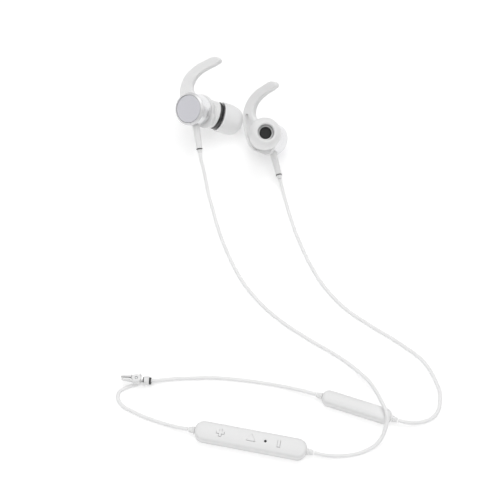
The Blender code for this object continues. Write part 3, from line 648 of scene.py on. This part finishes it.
def plate(name, outlines, bottom, top, matrix, edge, smooth=False):
    """A flat plate from closed outlines of (x, y), with rounded edges; an inner outline is a hole."""
    curve = bpy.data.curves.new(name, "CURVE")
    curve.dimensions = "2D"
    curve.fill_mode = "BOTH"
    curve.extrude = (top - bottom) / 2 - edge
    curve.bevel_depth = edge
    curve.bevel_resolution = 4
    curve.offset = -edge
    curve.resolution_u = 16
    for outline in outlines:
        spline = curve.splines.new("BEZIER" if smooth else "POLY")
        points = spline.bezier_points if smooth else spline.points
        points.add(len(outline) - 1)
        for point, place in zip(points, outline):
            if smooth:
                point.co = (*place, 0.0)
                point.handle_left_type = "AUTO"
                point.handle_right_type = "AUTO"
            else:
                point.co = (*place, 0.0, 1.0)
        spline.use_cyclic_u = True
    flat = bpy.data.objects.new(name, curve)
    bpy.context.scene.collection.objects.link(flat)
    bpy.context.view_layer.update()
    shape = bmesh.new()
    mesh = bpy.data.meshes.new_from_object(flat.evaluated_get(bpy.context.evaluated_depsgraph_get()))
    shape.from_mesh(mesh)
    bpy.data.objects.remove(flat)
    bmesh.ops.remove_doubles(shape, verts=shape.verts, dist=1e-7)
    bmesh.ops.translate(shape, verts=shape.verts, vec=(0.0, 0.0, (bottom + top) / 2))
    return made_object(name, shape, matrix)


def settle(piece, sharp=40.0):
    """Makes the modifiers' result the piece's own mesh."""
    bpy.context.view_layer.update()
    mesh = bpy.data.meshes.new_from_object(piece.evaluated_get(bpy.context.evaluated_depsgraph_get()))
    piece.modifiers.clear()
    piece.data = mesh
    mesh.shade_smooth()
    mesh.set_sharp_from_angle(angle=math.radians(sharp))
    return piece


def combine(piece, tools, operation, sharp=40.0):
    """Cuts the tools from the piece, or unites them with it, and removes them."""
    for tool in tools:
        modifier = piece.modifiers.new(tool.name, "BOOLEAN")
        modifier.operation = operation
        modifier.object = tool
    settle(piece, sharp)
    for tool in tools:
        bpy.data.objects.remove(tool)
    return piece


def fuse(piece, extras, voxel, passes):
    """Melts a piece and the pieces that overlap it into one skin with soft inner corners."""
    shape = bmesh.new()
    shape.from_mesh(piece.data)
    for extra in extras:
        extra.data.transform(piece.matrix_world.inverted() @ extra.matrix_world)
        shape.from_mesh(extra.data)
        bpy.data.objects.remove(extra)
    shape.to_mesh(piece.data)
    shape.free()
    remesh = piece.modifiers.new("one_skin", "REMESH")
    remesh.mode = "VOXEL"
    remesh.voxel_size = voxel
    soften = piece.modifiers.new("soften", "SMOOTH")
    soften.factor = 0.5
    soften.iterations = passes
    return settle(piece, 80.0)


def hand_over(piece, slot, body, *nodes):
    """Coats a piece, keeps its own coordinates for its finish, and puts it on a body in place of nodes."""
    if piece.type == "MESH":
        own = piece.data.attributes.new("own_place", "FLOAT_VECTOR", "POINT")
        for vertex, value in zip(piece.data.vertices, own.data):
            value.vector = vertex.co
        piece.data.transform(piece.matrix_world)
        piece.matrix_world = Matrix.Identity(4)
    piece.data.materials.clear()
    piece.data.materials.append(FINISHES[slot])
    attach(piece, body)
    if nodes:
        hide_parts(*nodes)
    return piece


# Cords.


def smooth_route(route):
    """Closely spaced points on a smooth curve through the route's points."""
    points = [Vector(place) for place in route]
    ends = [points[0] * 2 - points[1]] + points + [points[-1] * 2 - points[-2]]
    dense = []
    for before, start, end, after in zip(ends, ends[1:], ends[2:], ends[3:]):
        span = (end - start).length
        lead = (end - before).normalized() * span / 3
        follow = (after - start).normalized() * span / 3
        count = max(3, round(span / CORD_POINT_SPACING))
        dense += interpolate_bezier(start, start + lead, end - follow, end, count + 1)[:-1]
    dense.append(points[-1])
    return dense


def make_cord(name):
    curve = bpy.data.curves.new("free_" + name, "CURVE")
    curve.dimensions = "3D"
    curve.bevel_depth = CORD_DIAMETER / 2
    curve.bevel_resolution = 6
    curve.use_fill_caps = True
    places = smooth_route(CORD_ROUTES[name])
    spline = curve.splines.new("POLY")
    spline.points.add(len(places) - 1)
    for point, place in zip(spline.points, places):
        point.co = (*place, 1.0)
    spline.use_smooth = True
    cord = bpy.data.objects.new("free_" + name, curve)
    bpy.context.scene.collection.objects.link(cord)
    hand_over(cord, "cord_rubber", BODY, name)


make_camera()
make_studio()
carry_over_nodes()
for cord_name in CORD_ROUTES:
    make_cord(cord_name)


# Earbuds.


def bud_matrices(side_name):
    """The frames of a bud, of its nozzle and of its hook, from the hook's joint."""
    bud_place = BUDS[side_name]
    side = bud_place["side"]
    joint = next(joint for joint in frame["joints"] if joint["name"] == side_name + "_hook_turn")
    bud = axes_matrix(joint["pos_m"], joint["axis"], bud_place["up"])
    out = (
        side * math.cos(NOZZLE_DROOP) * math.sin(NOZZLE_TILT),
        -math.sin(NOZZLE_DROOP),
        math.cos(NOZZLE_DROOP) * math.cos(NOZZLE_TILT),
    )
    nozzle = bud @ axes_matrix((0.0, 0.0, NOZZLE_PIVOT), out, (0.0, 1.0, 0.0))
    hook = bud @ Matrix.Rotation(side * bud_place["hook_turn"], 4, "Z")
    lean = bud_place["relief_lean"]
    lean_out = (side * math.sin(lean), -math.cos(lean), 0.0)
    relief = bud @ axes_matrix((0.0, 0.0, RELIEF_ALONG_BARREL), lean_out, (0.0, 0.0, 1.0))
    return bud, nozzle, hook, relief


def make_barrel(side_name, bud, relief):
    """The turned shell with a bright chamfer round the cap."""
    profile = rounded(
        (
            (0.0057, BARREL_LENGTH, 0.00008),
            (BARREL_FRONT_RADIUS, BARREL_LENGTH, 0.00012),
            (0.00642, 0.0058, 0.004),
            (0.00655, 0.0038, 0.004),
            (BARREL_RADIUS, 0.00075, 0.00025),
            (0.0059, 0.0, 0.0001),
            (0.0056, 0.0, 0.00005),
            (0.0056, 0.0011, 0.0),
            (0.0046, 0.0011, 0.0),
            (0.0046, 0.0018, 0.0),
            (0.0057, 0.0018, 0.0),
        ),
        closed=True,
    )
    barrel = revolved(side_name + "_turned_barrel", profile, bud, 128, 25.0)
    hole = ((0.0, 0.0050), (0.00155, 0.0050), (0.00155, 0.0080), (0.0, 0.0080))
    combine(barrel, [revolved("hole", hole, relief, 48)], "DIFFERENCE", 25.0)
    hand_over(barrel, "barrel_aluminium", BODY, side_name + "_barrel")


def make_cap(side_name, bud):
    profile = rounded(
        (
            (0.0, 0.00009, 0.0),
            (0.0051, 0.00009, 0.00002),
            (0.0052, 0.00004, 0.00002),
            (CAP_RADIUS, 0.00012, 0.00005),
            (CAP_RADIUS, 0.0009, 0.00005),
            (0.0, 0.0009, 0.0),
        )
    )
    cap = revolved(side_name + "_turned_cap", profile, bud, 128)
    hand_over(cap, "cap_aluminium", BODY, side_name + "_cap_disc")


def make_elbow(side_name, bud, nozzle):
    """The white elbow from the barrel to the nozzle, stepped down in front of the dark ring."""
    dome = []
    for index in range(17):
        angle = -math.pi / 2 * index / 16
        dome.append((round(ELBOW_RADIUS * math.cos(angle), 9), ELBOW_RADIUS * math.sin(angle)))
    front = rounded(
        (
            (0.0, NOZZLE_END - 0.0006, 0.0),
            (NOZZLE_BORE, NOZZLE_END - 0.0006, 0.0),
            (NOZZLE_BORE, NOZZLE_END, 0.0001),
            (NOZZLE_RADIUS, NOZZLE_END, 0.0001),
            (NOZZLE_RADIUS, COLLAR_END, 0.0),
            (0.0032, COLLAR_END, 0.0),
            (0.0032, COLLAR_START - 0.00005, 0.0),
            (0.0054, COLLAR_START - 0.00005, 0.0002),
            (0.00565, COLLAR_START - 0.0005, 0.0003),
            (0.00545, COLLAR_START - 0.0012, 0.0003),
        )
    )
    elbow = revolved(side_name + "_moulded_elbow", front + dome, nozzle, 128, 30.0)
    below = ((0.0, -0.01), (0.02, -0.01), (0.02, ELBOW_START), (0.0, ELBOW_START))
    combine(elbow, [revolved("below", below, bud, 64)], "DIFFERENCE")
    ring = rounded(
        (
            (0.0, BARREL_LENGTH + GAP, 0.0),
            (HOUSING_RADIUS, BARREL_LENGTH + GAP, 0.0001),
            (HOUSING_RADIUS, 0.0104, 0.0001),
            (0.0, 0.0104, 0.0),
        )
    )
    combine(elbow, [revolved("ring", ring, bud, 128)], "UNION", 30.0)
    hand_over(elbow, "white_plastic", BODY, side_name + "_front_housing")


def make_nozzle_pieces(side_name, nozzle):
    collar = rounded(
        (
            (0.0034, COLLAR_END, 0.0),
            (0.0053, COLLAR_END, 0.0002),
            (COLLAR_RADIUS, COLLAR_END - 0.0003, 0.0003),
            (COLLAR_RADIUS, COLLAR_START + 0.0003, 0.0003),
            (0.0053, COLLAR_START, 0.0002),
            (0.0034, COLLAR_START, 0.0),
        ),
        closed=True,
    )
    piece = revolved(side_name + "_polished_collar", collar, nozzle, 128, 60.0)
    hand_over(piece, "dark_collar", BODY, side_name + "_nozzle_collar")
    screen = rounded(
        (
            (0.0, 0.01518, 0.0),
            (0.0015, 0.01514, 0.004),
            (0.0022, 0.01505, 0.0002),
            (NOZZLE_BORE - 0.00015, 0.0148, 0.0001),
            (NOZZLE_BORE - 0.00015, 0.0146, 0.0),
            (0.0, 0.0146, 0.0),
        )
    )
    piece = revolved(side_name + "_woven_screen", screen, nozzle, 96, 60.0)
    hand_over(piece, "dark_mesh", BODY, side_name + "_nozzle_mesh")


def make_eartip(side_name, nozzle):
    """The silicone dome, with its stem inside and a rolled edge at each end."""
    profile = rounded(
        (
            (0.0031, TIP_START + 0.0002, 0.0001),
            (0.0031, 0.0176, 0.0004),
            (0.0034, TIP_END, 0.0003),
            (0.0039, TIP_END + 0.00002, 0.0008),
            (0.0050, 0.0173, 0.01),
            (0.0059, 0.0154, 0.01),
            (TIP_RADIUS, 0.0127, 0.01),
            (0.00625, TIP_START + 0.0006, 0.0006),
            (0.0060, TIP_START, 0.0002),
            (0.0054, TIP_START + 0.0001, 0.0001),
            (0.0057, 0.0124, 0.01),
            (0.0053, 0.0146, 0.001),
            (0.0046, 0.0156, 0.0004),
            (0.0037, 0.0151, 0.0004),
            (0.0037, TIP_START + 0.0002, 0.0001),
        ),
        closed=True,
        steps=8,
    )
    tip = revolved(side_name + "_domed_eartip", profile, nozzle, 128, 60.0)
    hand_over(tip, "white_silicone", BODY, side_name + "_eartip")


def make_hook(side_name, hook, side):
    """The sleeve with its heel, and the curved wing with its leaf-shaped recess, moulded in one."""
    half = HOOK_THICKNESS / 2
    lean = Matrix.Rotation(HOOK_LEAN_UP, 4, "X") @ Matrix.Rotation(-side * HOOK_LEAN_FORWARD, 4, "Y")
    outline, recess, heel = (
        [(side * forward, up) for forward, up in points]
        for points in (HOOK_OUTLINE, HOOK_RECESS, HOOK_HEEL)
    )
    wing_matrix = hook @ Matrix.Translation((0.0, 0.0, HOOK_MIDDLE)) @ lean
    wing = plate("wing", (outline,), -half, half, wing_matrix, WING_EDGE, smooth=True)
    foot = plate("heel", (heel,), 0.0082, 0.0099, hook, HEEL_EDGE, smooth=True)
    sleeve = rounded(
        (
            (0.0, 0.0100, 0.0),
            (0.0062, 0.0100, 0.00025),
            (0.00645, 0.0097, 0.0002),
            (0.00645, 0.0084, 0.0002),
            (0.0062, 0.0081, 0.00025),
            (0.0, 0.0081, 0.0),
        )
    )
    moulding = revolved(side_name + "_moulded_hook", sleeve, hook, 128)
    fuse(moulding, [wing, foot], HOOK_VOXEL, 4)
    leaf = plate("recess", (recess,), HOOK_WEB - half, half + 0.0010, wing_matrix, 0.0002, smooth=True)
    combine(moulding, [leaf], "DIFFERENCE", 50.0)
    bore = (
        (0.0, 0.0150),
        (HOOK_SLEEVE_BORE, 0.0150),
        (HOOK_SLEEVE_BORE, BARREL_LENGTH + GAP),
        (BARREL_RADIUS + GAP, BARREL_LENGTH + GAP),
        (BARREL_RADIUS + GAP, 0.0040),
        (0.0, 0.0040),
    )
    combine(moulding, [revolved("bore", bore, hook, 128)], "DIFFERENCE", 50.0)
    hand_over(moulding, "white_silicone", side_name + "_hook", side_name + "_ear_hook")


def make_strain_relief(side_name, relief):
    """The tapered sleeve under the barrel, and the ferrule with a thin dark ring where the cord starts."""
    profile = rounded(
        (
            (0.0, RELIEF_ROOT, 0.0),
            (0.00148, RELIEF_ROOT, 0.0),
            (0.00146, 0.0074, 0.002),
            (0.00130, 0.0125, 0.004),
            (0.00124, RELIEF_END, 0.0002),
            (0.0, RELIEF_END, 0.0),
        ),
        steps=6,
    )
    piece = revolved(side_name + "_tapered_relief", profile, relief, 64)
    hand_over(piece, "white_silicone", BODY, side_name + "_strain_relief")
    ring = rounded(
        (
            (0.0, RELIEF_END + 0.00015, 0.0),
            (0.00132, RELIEF_END + 0.00015, 0.00005),
            (0.00132, RELIEF_END + 0.00036, 0.00005),
            (0.0, RELIEF_END + 0.00036, 0.0),
        )
    )
    piece = revolved(side_name + "_dark_ring", ring, relief, 64)
    hand_over(piece, "grey_collar", BODY)
    ferrule = rounded(
        (
            (0.0, RELIEF_END + 0.00045, 0.0),
            (0.00122, RELIEF_END + 0.00045, 0.0001),
            (0.00120, RELIEF_END + 0.00085, 0.0001),
            (0.00098, RELIEF_END + 0.00100, 0.0001),
            (0.00086, RELIEF_COLLAR_END, 0.0001),
            (0.0, RELIEF_COLLAR_END, 0.0),
        )
    )
    piece = revolved(side_name + "_ferrule", ferrule, relief, 64)
    hand_over(piece, "white_silicone", BODY, side_name + "_relief_collar")


def make_bud(side_name):
    bud, nozzle, hook, relief = bud_matrices(side_name)
    make_barrel(side_name, bud, relief)
    make_cap(side_name, bud)
    make_elbow(side_name, bud, nozzle)
    make_nozzle_pieces(side_name, nozzle)
    make_eartip(side_name, nozzle)
    make_hook(side_name, hook, BUDS[side_name]["side"])
    make_strain_relief(side_name, relief)


# Pods.


def pod_ring(size, corner, inset, height, steps=12):
    """A round-cornered rectangle, drawn in by an inset, as points at one height."""
    half_length = size[0] / 2 - inset
    half_width = size[1] / 2 - inset
    radius = max(corner - inset, 0.00025)
    points = []
    for quarter, (along, across) in enumerate(((1, 1), (-1, 1), (-1, -1), (1, -1))):
        for step in range(steps + 1):
            angle = (quarter + step / steps) * math.pi / 2
            x = along * (half_length - radius) + radius * math.cos(angle)
            y = across * (half_width - radius) + radius * math.sin(angle)
            points.append((x, y, height))
    return points


def pod_shell(name, size, corner, rim, crown_height, edge, crown, matrix):
    """Half a pod's case: out over its gently crowned face, round its edge to the rim, and back inside."""
    up = 1.0 if crown_height > rim else -1.0
    deepest = size[1] / 2 - 0.0005
    outside = []
    for index in range(5):
        inset = deepest + (edge - deepest) * index / 5
        share = 1.0 - (inset - edge) / (deepest - edge)
        outside.append((inset, crown_height - up * crown * share**2))
    for index in range(9):
        angle = math.pi / 2 * index / 8
        inset = edge * (1.0 - math.sin(angle))
        outside.append((inset, crown_height - up * (crown + edge * (1.0 - math.cos(angle)))))
    outside.append((0.0, rim + up * 0.00012))
    outside.append((0.00006, rim))
    inside = [(POD_WALL, rim), (POD_WALL, crown_height - up * (POD_WALL + edge))]
    inside.append((POD_WALL + edge * 0.6, crown_height - up * (POD_WALL + crown)))
    inside.append((deepest, crown_height - up * POD_WALL))
    outlines = [pod_ring(size, corner, inset, height) for inset, height in outside + inside]
    return lofted(name, outlines, matrix, 35.0)


def triangle_outline(radius, corner):
    turns = (math.pi / 2, math.pi * 7 / 6, math.pi * 11 / 6)
    corners = [(radius * math.cos(turn), radius * math.sin(turn), corner) for turn in turns]
    return rounded(corners, closed=True, steps=6)


def bar_outline(half_width, half_length, corner):
    corners = ((1, 1), (-1, 1), (-1, -1), (1, -1))
    return rounded([(x * half_width, y * half_length, corner) for x, y in corners], closed=True, steps=6)


def plus_outline(half_width, half_length, corner):
    near = half_width
    far = half_length
    corners = (
        (near, far),
        (-near, far),
        (-near, near),
        (-far, near),
        (-far, -near),
        (-near, -near),
        (-near, -far),
        (near, -far),
        (near, -near),
        (far, -near),
        (far, near),
        (near, near),
    )
    return rounded([(x, y, corner) for x, y in corners], closed=True, steps=4)


def sign_outlines(grow):
    """Each key's generic sign, grown by a margin for the opening that it moves in."""
    return {
        "plus": plus_outline(0.00042 + grow, 0.0014 + grow, 0.0001),
        "play": triangle_outline(0.0018 + 2 * grow, 0.0002),
        "minus": bar_outline(0.00048 + grow, 0.0013 + grow, 0.0002),
    }


def make_keys(pod, cover):
    """Raised signs in close-fitting openings, each over a round flange inside the pod."""
    height = CONTROL_SIZE[2]
    signs = sign_outlines(0.0)
    holes = []
    for name, outline in sign_outlines(KEY_GAP).items():
        seat = pod @ Matrix.Translation((BUTTON_PLACES[name], 0.0, 0.0))
        holes.append(lofted("hole", [[(x, y, z) for x, y in outline] for z in (0.0028, 0.0060)], seat))
    microphone = pod @ Matrix.Translation((MICROPHONE_PLACE, 0.0, 0.0))
    sound_hole = ((0.0, 0.0033), (0.0005, 0.0033), (0.0005, 0.0060), (0.0, 0.0060))
    holes.append(revolved("hole", sound_hole, microphone, 48))
    combine(cover, holes, "DIFFERENCE", 35.0)
    for name, outline in signs.items():
        seat = pod @ Matrix.Translation((BUTTON_PLACES[name], 0.0, height))
        body = name + "_key"
        sign = plate(name + "_sign", (outline,), -BUTTON_SINK, BUTTON_RAISE, seat, 0.00009)
        hand_over(sign, "white_plastic", body, "button_" + name)
        flange = rounded(
            (
                (0.0, -BUTTON_SINK, 0.0),
                (0.0017, -BUTTON_SINK, 0.0001),
                (0.0017, -BUTTON_SINK - 0.0004, 0.0001),
                (0.0007, -BUTTON_SINK - 0.0004, 0.0001),
                (0.0007, -0.00205, 0.0001),
                (0.0, -0.00205, 0.0),
            )
        )
        hand_over(revolved(name + "_flange", flange, seat, 64), "white_plastic", body)


def make_pod_relief(name, pod, length, height, end, node):
    """The short ribbed cone where a cord leaves a pod."""
    start = length / 2 + 0.00015
    matrix = pod @ axes_matrix((0.0, 0.0, height), (end, 0.0, 0.0), (0.0, 0.0, 1.0))
    corners = [(0.0, start, 0.0), (0.0013, start, 0.00008), (0.00126, start + 0.0004, 0.0001)]
    for index in range(2):
        rib = start + 0.0006 + index * 0.0005
        corners.append((0.00098, rib, 0.00006))
        corners.append((0.00098, rib + 0.00015, 0.00006))
        corners.append((0.00116 - index * 0.0001, rib + 0.0002, 0.00006))
        corners.append((0.00114 - index * 0.0001, rib + 0.0004, 0.00006))
    corners.append((0.00094, start + 0.0018, 0.0001))
    corners.append((0.00090, start + 0.0022, 0.0001))
    corners.append((0.0, start + 0.0022, 0.0))
    piece = revolved(name, rounded(corners, steps=3), matrix, 64)
    hand_over(piece, "white_silicone", BODY, node)


def make_usb_flap(cover):
    """The soft flap over the charging socket, with a finger lip at its free end."""
    joint = next(joint for joint in frame["joints"] if joint["name"] == "charging_flap_hinge")
    flap_frame = Matrix.Translation(Vector(joint["pos_m"])) @ Matrix.Rotation(CONTROL_TURN, 4, "Z")
    facing = flap_frame @ Matrix.Rotation(math.radians(90.0), 4, "X")
    middle = 0.0037
    opening = bar_outline(0.0039, 0.00095, 0.0004)
    opening = [[(x + middle, y, z) for x, y in opening] for z in (-0.0012, 0.0012)]
    combine(cover, [lofted("opening", opening, facing)], "DIFFERENCE", 35.0)
    face = bar_outline(0.0037, 0.00075, 0.0003)
    flap = plate("soft_flap", ([(x + middle, y) for x, y in face],), 0.0, 0.0007, facing, 0.00012)
    lip = bar_outline(0.0003, 0.0005, 0.00015)
    lip = plate("lip", ([(x + 0.0068, y) for x, y in lip],), -0.0003, 0.0002, facing, 0.0001)
    combine(flap, [lip], "UNION")
    hand_over(flap, "white_silicone", "charging_flap", "usb_flap")


def make_control_pod():
    pod = Matrix.Rotation(CONTROL_TURN, 4, "Z")
    height = CONTROL_SIZE[2]
    cover = pod_shell(
        "control_face", CONTROL_SIZE, CONTROL_CORNER, CONTROL_SPLIT, height, 0.0011, 0.00018, pod
    )
    make_keys(pod, cover)
    make_usb_flap(cover)
    hand_over(cover, "white_plastic", BODY, "control_top_cover")
    back = pod_shell(
        "control_back", CONTROL_SIZE, CONTROL_CORNER, CONTROL_SPLIT - GAP, 0.0, 0.0009, 0.0, pod
    )
    hand_over(back, "white_plastic", BODY, "control_bottom_cover")
    length = CONTROL_SIZE[0]
    exit_height = CONTROL_EXIT_HEIGHT
    make_pod_relief("control_neck_cone", pod, length, exit_height, -1, "control_relief_neck")
    make_pod_relief("control_bud_cone", pod, length, exit_height, 1, "control_relief_left_bud")


def make_battery_pod():
    low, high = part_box("battery_bottom_cover")
    middle = (low + high) / 2
    pod = Matrix.Translation((middle.x, middle.y, 0.0)) @ Matrix.Rotation(BATTERY_TURN, 4, "Z")
    height = BATTERY_SIZE[2]
    cover = pod_shell(
        "battery_face", BATTERY_SIZE, BATTERY_CORNER, BATTERY_SPLIT, height, 0.0011, 0.00015, pod
    )
    hand_over(cover, "white_plastic", BODY, "battery_top_cover")
    back = pod_shell(
        "battery_back", BATTERY_SIZE, BATTERY_CORNER, BATTERY_SPLIT - GAP, 0.0, 0.0010, 0.0, pod
    )
    hand_over(back, "white_plastic", BODY, "battery_bottom_cover")
    length = BATTERY_SIZE[0]
    exit_height = BATTERY_EXIT_HEIGHT
    make_pod_relief("battery_neck_cone", pod, length, exit_height, -1, "battery_relief_neck")
    make_pod_relief("battery_bud_cone", pod, length, exit_height, 1, "battery_relief_right_bud")


# Shirt clip. Its frame's X runs from the pivot to the eyelet, and its jaws point the other way.

CHEEK_TURNS = [2 * math.pi * index / 64 for index in range(64)]
CHEEK = [
    (CLIP_CHEEK_RADII[0] * math.cos(turn), CLIP_CHEEK_RADII[1] * math.sin(turn)) for turn in CHEEK_TURNS
]
NECK = (
    (EYELET_START + 0.0006, -0.00095),
    (0.0004, -0.00095),
    (0.0004, -0.00135),
    (EYELET_START + 0.0006, -0.00135),
)


NEAR_JAW = (
    (-0.0052, -0.0006),
    (-0.0056, -0.0002),
    (-0.0056, 0.0),
    (-0.0052, -0.00015),
    (-0.0021, -0.00015),
    (-0.0014, -0.0009),
    (-0.0012, -0.0011),
    (0.0012, -0.0011),
    (0.0010, -0.0014),
    (-0.0012, -0.0014),
    (-0.0024, -0.0009),
)
FAR_JAW = (
    (-0.0052, 0.0007),
    (-0.0056, 0.0004),
    (-0.0056, 0.00015),
    (-0.0052, 0.0002),
    (-0.0019, 0.0002),
    (-0.0010, -0.0005),
    (-0.0005, -0.0008),
    (0.0005, -0.0008),
    (0.0010, -0.0003),
    (0.0010, 0.0008),
    (0.0016, 0.0013),
    (0.0015, 0.0017),
    (0.0006, 0.0015),
    (-0.0006, 0.0014),
    (-0.0021, 0.0010),
)


def make_clip_base(clip):
    """The near jaw, the two cheeks and the white eyelet, moulded in one."""
    base = plate("clip_cheek_moulding", (CHEEK,), CLIP_BOTTOM, CLIP_BOTTOM + CLIP_CHEEK, clip, 0.00012)
    upper = plate("upper_cheek", (CHEEK,), CLIP_TOP - CLIP_CHEEK, CLIP_TOP, clip, 0.00018)
    jaw = plate("near_jaw", (NEAR_JAW,), CLIP_BOTTOM + 0.0002, CLIP_TOP - 0.0002, clip, 0.00006)
    neck_heights = (CLIP_BOTTOM + 0.0001, CLIP_BOTTOM + 0.0006)
    neck = lofted("neck", [[(x, y, z) for x, y in NECK] for z in neck_heights], clip)
    along = clip @ axes_matrix((0.0, EYELET_SIDE, EYELET_HEIGHT), (1.0, 0.0, 0.0), (0.0, 0.0, 1.0))
    ring = rounded(
        (
            (0.0, EYELET_START + 0.0004, 0.0),
            (EYELET_RADIUS, EYELET_START + 0.0004, 0.00012),
            (EYELET_RADIUS, EYELET_END - 0.0007, 0.00012),
            (0.0, EYELET_END - 0.0007, 0.0),
        )
    )
    combine(base, [upper, jaw, neck, revolved("ring", ring, along, 96)], "UNION", 35.0)
    bore_radius = EYELET_BORE + 0.0002
    bore_start = EYELET_START - 0.0006
    bore_end = EYELET_END + 0.0006
    bore = ((0.0, bore_start), (bore_radius, bore_start), (bore_radius, bore_end), (0.0, bore_end))
    hole = ((0.0, 0.0), (CLIP_PIN_HOLE, 0.0), (CLIP_PIN_HOLE, 0.0080), (0.0, 0.0080))
    cutters = [revolved("bore", bore, along, 64), revolved("hole", hole, clip, 48)]
    combine(base, cutters, "DIFFERENCE", 35.0)
    hand_over(base, "white_plastic", BODY, "clip_base")
    # A dark sleeve inside the eyelet's bore: painted shade, standing in for the shadow in the hole.
    bore_shade = rounded(
        (
            (EYELET_BORE, EYELET_START, 0.0001),
            (EYELET_BORE + 0.00018, EYELET_START, 0.0001),
            (EYELET_BORE + 0.00018, EYELET_END, 0.0001),
            (EYELET_BORE, EYELET_END, 0.0001),
        ),
        closed=True,
    )
    hand_over(revolved("clip_eyelet_painted_shade", bore_shade, along, 96), "grey_collar", BODY)


def make_clip_lever(clip):
    """The far jaw, which turns on the pin between the cheeks."""
    lever = plate("clip_jaw_moulding", (FAR_JAW,), CLIP_BOTTOM, CLIP_TOP, clip, 0.00006)
    slack = 0.0002
    middle = (CLIP_BOTTOM + CLIP_TOP) / 2
    spring_radius, spring_half = CLIP_SPRING_ROOM
    cutters = []
    for low, high, radius in (
        (0.0, CLIP_BOTTOM + CLIP_CHEEK + slack, CLIP_ROOM_RADIUS),
        (CLIP_TOP - CLIP_CHEEK - slack, 0.0080, CLIP_ROOM_RADIUS),
        (0.0001, 0.0079, CLIP_PIN_HOLE),
        (middle - spring_half, middle + spring_half, spring_radius),
    ):
        profile = ((0.0, low), (radius, low), (radius, high), (0.0, high))
        cutters.append(revolved("room", profile, clip, 64))
    combine(lever, cutters, "DIFFERENCE", 35.0)
    hand_over(lever, "white_plastic", "clip_jaw", "clip_lever")


def make_clip():
    joint = next(joint for joint in frame["joints"] if joint["name"] == "clip_jaw_pivot")
    pivot = joint["pos_m"]
    clip = Matrix.Translation((pivot[0], pivot[1], 0.0)) @ Matrix.Rotation(CLIP_TURN, 4, "Z")
    make_clip_base(clip)
    make_clip_lever(clip)
    pin = rounded(
        (
            (0.0, CLIP_BOTTOM + 0.0001, 0.0),
            (0.0004, CLIP_BOTTOM + 0.0001, 0.00008),
            (0.0004, CLIP_TOP - 0.0001, 0.00008),
            (0.0, CLIP_TOP - 0.0001, 0.0),
        )
    )
    hand_over(revolved("clip_turned_pin", pin, clip, 64), "steel", BODY, "clip_pin")


for bud_name in BUDS:
    make_bud(bud_name)
make_control_pod()
make_battery_pod()
make_clip()
